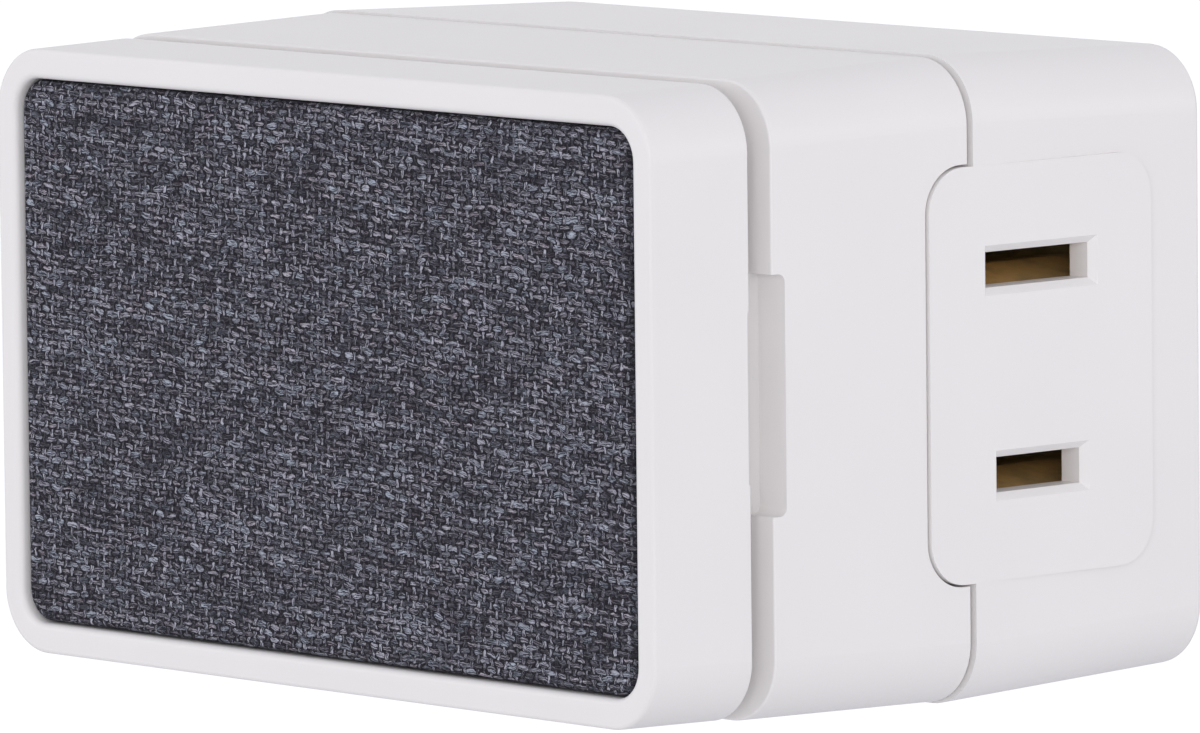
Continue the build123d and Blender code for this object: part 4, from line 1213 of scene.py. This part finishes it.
    def outline_gap(self, x: np.ndarray, z: np.ndarray, half_x: float, half_z: float) -> Arrays:
        """Distance inwards from the rounded outline, and the way outwards.

        Beyond the core rectangle the distance is the corner radius less the distance to the
        core; within it, it is the smaller of the gaps to the two nearest sides.

        Args:
            x: places across, from the middle.
            z: places up, from the middle.
            half_x: half of the outline's width.
            half_z: half of its height.

        Returns:
            The gap, and the two parts of the unit vector outwards.
        """
        past_x = np.abs(x) - (half_x - self.corner_radius)
        past_z = np.abs(z) - (half_z - self.corner_radius)
        far_x, far_z = np.maximum(past_x, 0), np.maximum(past_z, 0)
        length = np.hypot(far_x, far_z)
        gap = self.corner_radius - length - np.minimum(np.maximum(past_x, past_z), 0)
        safe = np.where(length > 0, length, 1.0)
        sideways = np.where(length > 0, far_x / safe, (past_x > past_z).astype(float))
        upwards = np.where(length > 0, far_z / safe, (past_x <= past_z).astype(float))
        return gap, sideways * np.sign(x), upwards * np.sign(z)


class Mark(Enum):
    """Mark moulded on a key."""

    LIST = "list"
    CLOCK = "clock"
    HOUR = "hour"
    MINUTE = "minute"
    POWER = "power"


@dataclass
class ControlFace:
    """What the door hides: the film, window, display, keys and lamp, with their marks."""

    digit_height: float = 7.6 * MM
    digit_width: float = 4.1 * MM
    digit_pitch: float = 5.7 * MM
    segment_width: float = 0.95 * MM
    segment_gap: float = 0.12 * MM
    dot_length: float = 1.52 * MM
    segment_top: float = 0.03 * MM
    segment_foot: float = 0.005 * MM
    mark_width: float = 0.3 * MM
    mark_height: float = 0.03 * MM
    mark_sunk: float = 0.02 * MM
    ring_steps: int = 32

    SHOWN = ("1", "2", ":", "0", "0")
    SEGMENTS = {"0": "abcdef", "1": "bc", "2": "abged"}
    MARKS = {
        "program": Mark.LIST,
        "clock": Mark.CLOCK,
        "hour": Mark.HOUR,
        "minute": Mark.MINUTE,
        "mode": Mark.POWER,
    }

    def build(self) -> None:
        """Dress the control face and add the display's digits and the keys' marks."""
        key = MouldedPlastic(
            "key plastic", (0.115, 0.12, 0.13), roughness=0.4, tone_drift=0.08, texture_depth=0.01 * MM
        )
        dress(PrintedFilm(), "fascia_label")
        dress(STEEL, "keeper_disc")
        dress(ClearPlastic("clear window", (0.93, 0.95, 0.96), roughness=0.02), "display_window")
        dress(DisplayFilm(), "display_glass")
        dress(LayeredRubber(), "zebra_strips")
        dress(BLACK, "display_frame", "switch_bodies")
        dress(ClearPlastic("lamp red", (0.62, 0.03, 0.03), roughness=0.2), "status_lamp")
        dress(ClearPlastic("milky pipe", (0.92, 0.84, 0.83), roughness=0.12, haze=0.3), "light_pipe")
        names = (*self.MARKS, "reset")
        dress(key, *(f"{name}_key" for name in names))
        dress(BLACK, *(f"{name}_plunger" for name in names))
        self.digits()
        for name, mark in self.MARKS.items():
            self.mark(name, mark)

    def digits(self) -> bpy.types.Object:
        """Lay the display's lit segments on its glass.

        A segment is a bar with pointed ends: its two ends, and at each a pair of corners set
        in by half its width. Digits stand side by side on one pitch, with two dots between.

        Returns:
            The lit segments.
        """
        middle, half = middle_and_half("display_glass")
        centre, front_y = middle[[0, 2]], middle[1] - half[1]
        w, h, quarter = self.digit_width / 2, self.digit_height / 2, self.digit_pitch / 4
        ends = {
            "a": ((-w, h), (w, h)),
            "b": ((w, 0), (w, h)),
            "c": ((w, -h), (w, 0)),
            "d": ((-w, -h), (w, -h)),
            "e": ((-w, -h), (-w, 0)),
            "f": ((-w, 0), (-w, h)),
            "g": ((-w, 0), (w, 0)),
        }
        spots = (np.arange(len(self.SHOWN)) - (len(self.SHOWN) - 1) / 2) * self.digit_pitch
        spots = spots + np.array([quarter, quarter, 0, -quarter, -quarter])
        runs = [
            np.array(ends[letter]) + centre + np.array([x, 0.0])
            for x, sign in zip(spots, self.SHOWN)
            for letter in self.SEGMENTS.get(sign, "")
        ]
        dot = np.array([[-self.dot_length / 2, 0], [self.dot_length / 2, 0]])
        runs += [dot + centre + np.array([0.0, up * h / 2]) for up in (-1, 1)]
        outlines = self.pointed_bars(np.array(runs))
        top_y, foot_y = front_y - self.segment_top, front_y - self.segment_foot
        lit = add_prisms("display_digits", outlines, top_y, foot_y)
        ink = MouldedPlastic(
            "display ink", (0.022, 0.026, 0.026), roughness=0.35, tone_drift=0.15, texture_depth=0.001 * MM
        )
        return dress_piece(lit, ink, "housing")

    def pointed_bars(self, ends: np.ndarray) -> np.ndarray:
        """Outlines of bars with pointed ends.

        Args:
            ends: number of bars by the two ends by (x, z).

        Returns:
            Number of bars by six corners by (x, z), anticlockwise from the first end.
        """
        run = ends[:, 1] - ends[:, 0]
        length = np.linalg.norm(run, axis=1, keepdims=True)
        run = run / length
        side = np.stack([-run[:, 1], run[:, 0]], axis=1) * self.segment_width / 2
        first, last = ends[:, 0] + run * self.segment_gap, ends[:, 1] - run * self.segment_gap
        setback = run * np.minimum(self.segment_width / 2, length / 3)
        near, far = first + setback, last - setback
        return np.stack([first, near - side, far - side, last, far + side, near + side], axis=1)

    def mark(self, name: str, mark: Mark) -> bpy.types.Object:
        """Raise a key's mark on its front.

        Args:
            name: the key's name.
            mark: which mark it carries.

        Returns:
            The mark.
        """
        middle, half = middle_and_half(f"{name}_key")
        centre, front_y = middle[[0, 2]], middle[1] - half[1]
        # Both ends of each stroke, in millimetres from the key's middle
        strokes = {
            Mark.LIST: np.array([[[-1.1, z], [1.1, z]] for z in (-0.8, 0.0, 0.8)]),
            Mark.CLOCK: np.array([[[0.0, -0.1], [0.0, 0.75]], [[-0.1, 0.0], [0.55, 0.0]]]),
            Mark.HOUR: np.array([[[x, z], [x + 0.75, 0.0]] for x in (-0.9, 0.1) for z in (-0.85, 0.85)]),
            Mark.MINUTE: np.array([[[-0.4, z], [0.4, 0.0]] for z in (-0.85, 0.85)]),
            Mark.POWER: np.array([[[0.0, 0.4], [0.0, 1.9]]]),
        }[mark]
        outlines = [bars(strokes * MM, self.mark_width)]
        # Radius, and the angles where the ring begins and ends
        rings = {Mark.CLOCK: (1.2 * MM, 0.0, 360.0), Mark.POWER: (1.6 * MM, 125.0, 415.0)}
        if mark in rings:
            radius, start, end = rings[mark]
            outlines.append(arc_bars(radius, self.mark_width, start, end, self.ring_steps))
        together = np.concatenate(outlines) + centre
        piece = add_prisms(f"{name}_mark", together, front_y - self.mark_height, front_y + self.mark_sunk)
        return dress_piece(piece, MARK, f"{name}_button")


@dataclass
class Housings:
    """The two white housings, with the screws that join them."""

    def build(self) -> None:
        """Dress the housings and their screws."""
        cover = MouldedPlastic(
            "grey cover", (0.30, 0.31, 0.32), roughness=0.5, tone_drift=0.04, texture_depth=0.01 * MM
        )
        dress(SHELL, "front_housing", "rear_housing")
        dress(STEEL, "housing_screws")
        dress(cover, "contact_cover")


@dataclass
class Outlets:
    """Current-carrying metal: plug blades, contact strips and the link to the board."""

    def build(self) -> None:
        """Dress the blades and strips."""
        blade = BrushedMetal(
            "blade nickel", (0.70, 0.69, 0.66), roughness=0.24, along=Along.DEEP, stain=0.08
        )
        dress(blade, "neutral_blade", "line_blade")
        dress(BRASS, "neutral_strip", "switched_line_strip", "line_link")


@dataclass
class Electronics:
    """Both boards with what is fitted on them."""

    chip_count: int = 4
    chip_length: float = 1.6 * MM
    chip_end_spread: float = 1.3 * MM
    chip_end_half: float = 0.17 * MM
    lead_length: float = 1.4 * MM
    can_rim: float = 0.3 * MM

    def build(self) -> None:
        """Dress the boards, their components, screws and the link between them."""
        crystal = BrushedMetal("crystal can", (0.74, 0.73, 0.71), roughness=0.22, along=Along.ACROSS)
        dress(BoardMask(), "control_board", "power_board")
        dress(STEEL, "board_screws", "power_board_screws")
        dress(BLACK, "controller_chip", "header_body")
        dress(GOLD, "header_pins")
        dress(crystal, "timing_crystal")
        dress(NICKEL, "backup_cell", "cell_clip")
        self.dress_chips()
        self.dress_standing()
        self.dress_lying()

    def dress_chips(self) -> None:
        """Dress the small chip components: tan ceramic between tinned ends."""
        middle, half = (part[0] for part in middle_and_half("chip_components"))
        pitch = (2 * half - self.chip_length) / (self.chip_count - 1)
        first = middle - half + self.chip_length / 2
        ends = tuple(
            Band(first + i * pitch + side * self.chip_end_spread / 2, self.chip_end_half, TINNED, 1.0)
            for i in range(self.chip_count)
            for side in (-1, 1)
        )
        ceramic = LeadedBody("chip ceramic", (0.42, 0.30, 0.19), Axis.X, middle, half, bands=ends)
        dress(ceramic, "chip_components")

    def dress_standing(self) -> None:
        """Dress what stands on the power board: the leads are what lies beyond the board's face."""
        board_low, board_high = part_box("power_board")
        for node, name, colour, rear, roughness in (
            ("relay", "relay case", (0.03, 0.075, 0.17), True, 0.4),
            ("film_capacitor", "film capacitor case", (0.72, 0.52, 0.08), True, 0.3),
            ("varistor", "varistor lacquer", (0.03, 0.11, 0.36), False, 0.25),
            ("regulator", "regulator case", (0.022, 0.022, 0.024), False, 0.45),
        ):
            low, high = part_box(node)
            near, far = (board_high.y, high.y) if rear else (low.y, board_low.y)
            middle, half = (near + far) / 2, (far - near) / 2
            dress(LeadedBody(name, colour, Axis.Y, middle, half, roughness), node)
        low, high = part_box("electrolytic_capacitor")
        middle, half = (low.z + high.z - self.lead_length) / 2, (high.z - self.lead_length - low.z) / 2
        rim = (Band(low.z, self.can_rim, (0.72, 0.72, 0.73), 1.0),)
        can = LeadedBody("can sleeve", (0.025, 0.03, 0.05), Axis.Z, middle, half, 0.3, rim)
        dress(can, "electrolytic_capacitor")

    def dress_lying(self) -> None:
        """Dress the components that lie along X between their leads, with their bands.

        The bands' places and half widths are shares of the body's half length.
        """
        rings = (
            (-0.62, (0.28, 0.13, 0.03)),
            (-0.3, (0.02, 0.02, 0.02)),
            (0.02, (0.42, 0.03, 0.02)),
            (0.62, (0.55, 0.38, 0.08)),
        )
        for node, name, colour, bands in (
            (
                "rectifier_diodes", "diode case", (0.02, 0.02, 0.022),
                [Band(0.72, 0.07, (0.62, 0.62, 0.63))],
            ),
            (
                "line_fuse", "fuse ceramic", (0.74, 0.70, 0.62),
                [Band(end, 0.3, TINNED, 1.0) for end in (-1.0, 1.0)],
            ),
            (
                "power_resistor", "resistor lacquer", (0.34, 0.42, 0.46),
                [Band(at, 0.055, ring) for at, ring in rings],
            ),
        ):
            middle, half = (part[0] for part in middle_and_half(node))
            half = half - self.lead_length
            placed = tuple(Band(middle + b.at * half, b.half * half, b.colour, b.metal) for b in bands)
            dress(LeadedBody(name, colour, Axis.X, middle, half, bands=placed), node)


# ---- Studio -------------------------------------------------------------------------


@dataclass(frozen=True)
class SoftLight:
    """A wide far light: where it stands, and how much light it adds to a face turned to it."""

    name: str
    way: tuple[float, float, float]
    share: float


@dataclass
class Studio:
    """Camera, soft lights and pale floor."""

    eye: tuple[float, float, float] = (0.582435, -0.554452, 0.082613)
    yaw: float = math.radians(47.608)
    pitch: float = math.radians(6.047)
    roll: float = math.radians(-0.624)
    lens: float = 377.87
    lights: tuple[SoftLight, ...] = (
        SoftLight("key light", (0.69, -0.72, 0.08), 0.37),
        SoftLight("right fill", (0.72, 0.69, 0.02), 0.145),
        SoftLight("left fill", (-0.69, -0.72, 0.02), 0.16),
    )
    sensor_width: float = 36.0
    clip: tuple[float, float] = (0.02, 60.0)
    light_angle: float = math.radians(30.0)
    room_share: float = 0.71
    room_cast: Colour = (0.955, 0.965, 1.03)
    floor_drop: float = 60.0 * MM
    floor_half: float = 3.0
    floor_steps: int = 5

    def build(self) -> None:
        """Set up the view, the light, the world and the floor."""
        scene = bpy.context.scene
        scene.view_settings.view_transform = "Standard"
        self.camera()
        for light in self.lights:
            self.shine(light)
        self.world()
        self.floor()

    def camera(self) -> None:
        """Place the camera: it looks along yaw and pitch, and rolls about its own line of sight."""
        level = math.cos(self.pitch)
        ahead = Vector((-math.sin(self.yaw) * level, math.cos(self.yaw) * level, -math.sin(self.pitch)))
        right = Vector((math.cos(self.yaw), math.sin(self.yaw), 0.0))
        up = right.cross(ahead)
        turned_right = math.cos(self.roll) * right + math.sin(self.roll) * up
        turned_up = -math.sin(self.roll) * right + math.cos(self.roll) * up
        data = bpy.data.cameras.new("camera")
        data.sensor_fit, data.sensor_width, data.lens = "HORIZONTAL", self.sensor_width, self.lens
        data.clip_start, data.clip_end = self.clip
        camera = bpy.data.objects.new("camera", data)
        bpy.context.scene.collection.objects.link(camera)
        turn = Matrix((turned_right, turned_up, -ahead)).transposed().to_4x4()
        camera.matrix_world = Matrix.Translation(self.eye) @ turn
        bpy.context.scene.camera = camera

    def shine(self, light: SoftLight) -> None:
        """Add one of the wide soft lights.

        Args:
            light: where it stands and how strong it is.
        """
        data = bpy.data.lights.new(light.name, "SUN")
        data.energy, data.angle = math.pi * light.share, self.light_angle
        lamp = bpy.data.objects.new(light.name, data)
        lamp.rotation_mode = "QUATERNION"
        lamp.rotation_quaternion = Vector(light.way).to_track_quat("Z", "Y")
        bpy.context.scene.collection.objects.link(lamp)

    def world(self) -> None:
        """White room: plain white to the camera, in gloss and through glass, softer on matt faces."""
        world = bpy.data.worlds.new("white room")
        bpy.context.scene.world = world
        world.use_nodes = True
        g = Graph(world.node_tree)
        path = g.node("ShaderNodeLightPath").outputs
        seen = g.math("MAXIMUM", path["Is Camera Ray"], path["Is Glossy Ray"])
        seen = g.math("MAXIMUM", seen, path["Is Transmission Ray"])
        strength = g.between(seen, self.room_share, 1.0)
        cast = g.tint(seen, self.room_cast, (1.0, 1.0, 1.0))
        background = g.node("ShaderNodeBackground", {"Color": cast, "Strength": strength})
        g.node("ShaderNodeOutputWorld", {"Surface": background.outputs[0]})

    def floor(self) -> None:
        """Lay a flat pale floor under the object; it looks white to the camera and keeps its shadow."""
        level = cad_box[0].z - self.floor_drop
        side = np.linspace(-self.floor_half, self.floor_half, self.floor_steps)
        x, y = np.meshgrid(side, side)
        points = np.stack([x, y, np.full_like(x, level)], axis=-1).reshape(-1, 3)
        faces = grid_faces(self.floor_steps, self.floor_steps)
        floor = add_piece("studio_floor", points, faces.tolist())
        floor.data.materials.append(PaleFloor().material())


def main() -> None:
    """Build each sub-assembly, then the studio round it."""
    logging.basicConfig(level=logging.INFO, format="%(name)s: %(message)s")
    for assembly in (Door(), ControlFace(), Housings(), Outlets(), Electronics(), Studio()):
        log.info("building %s", type(assembly).__name__)
        assembly.build()


if __name__ == "__main__":
    main()
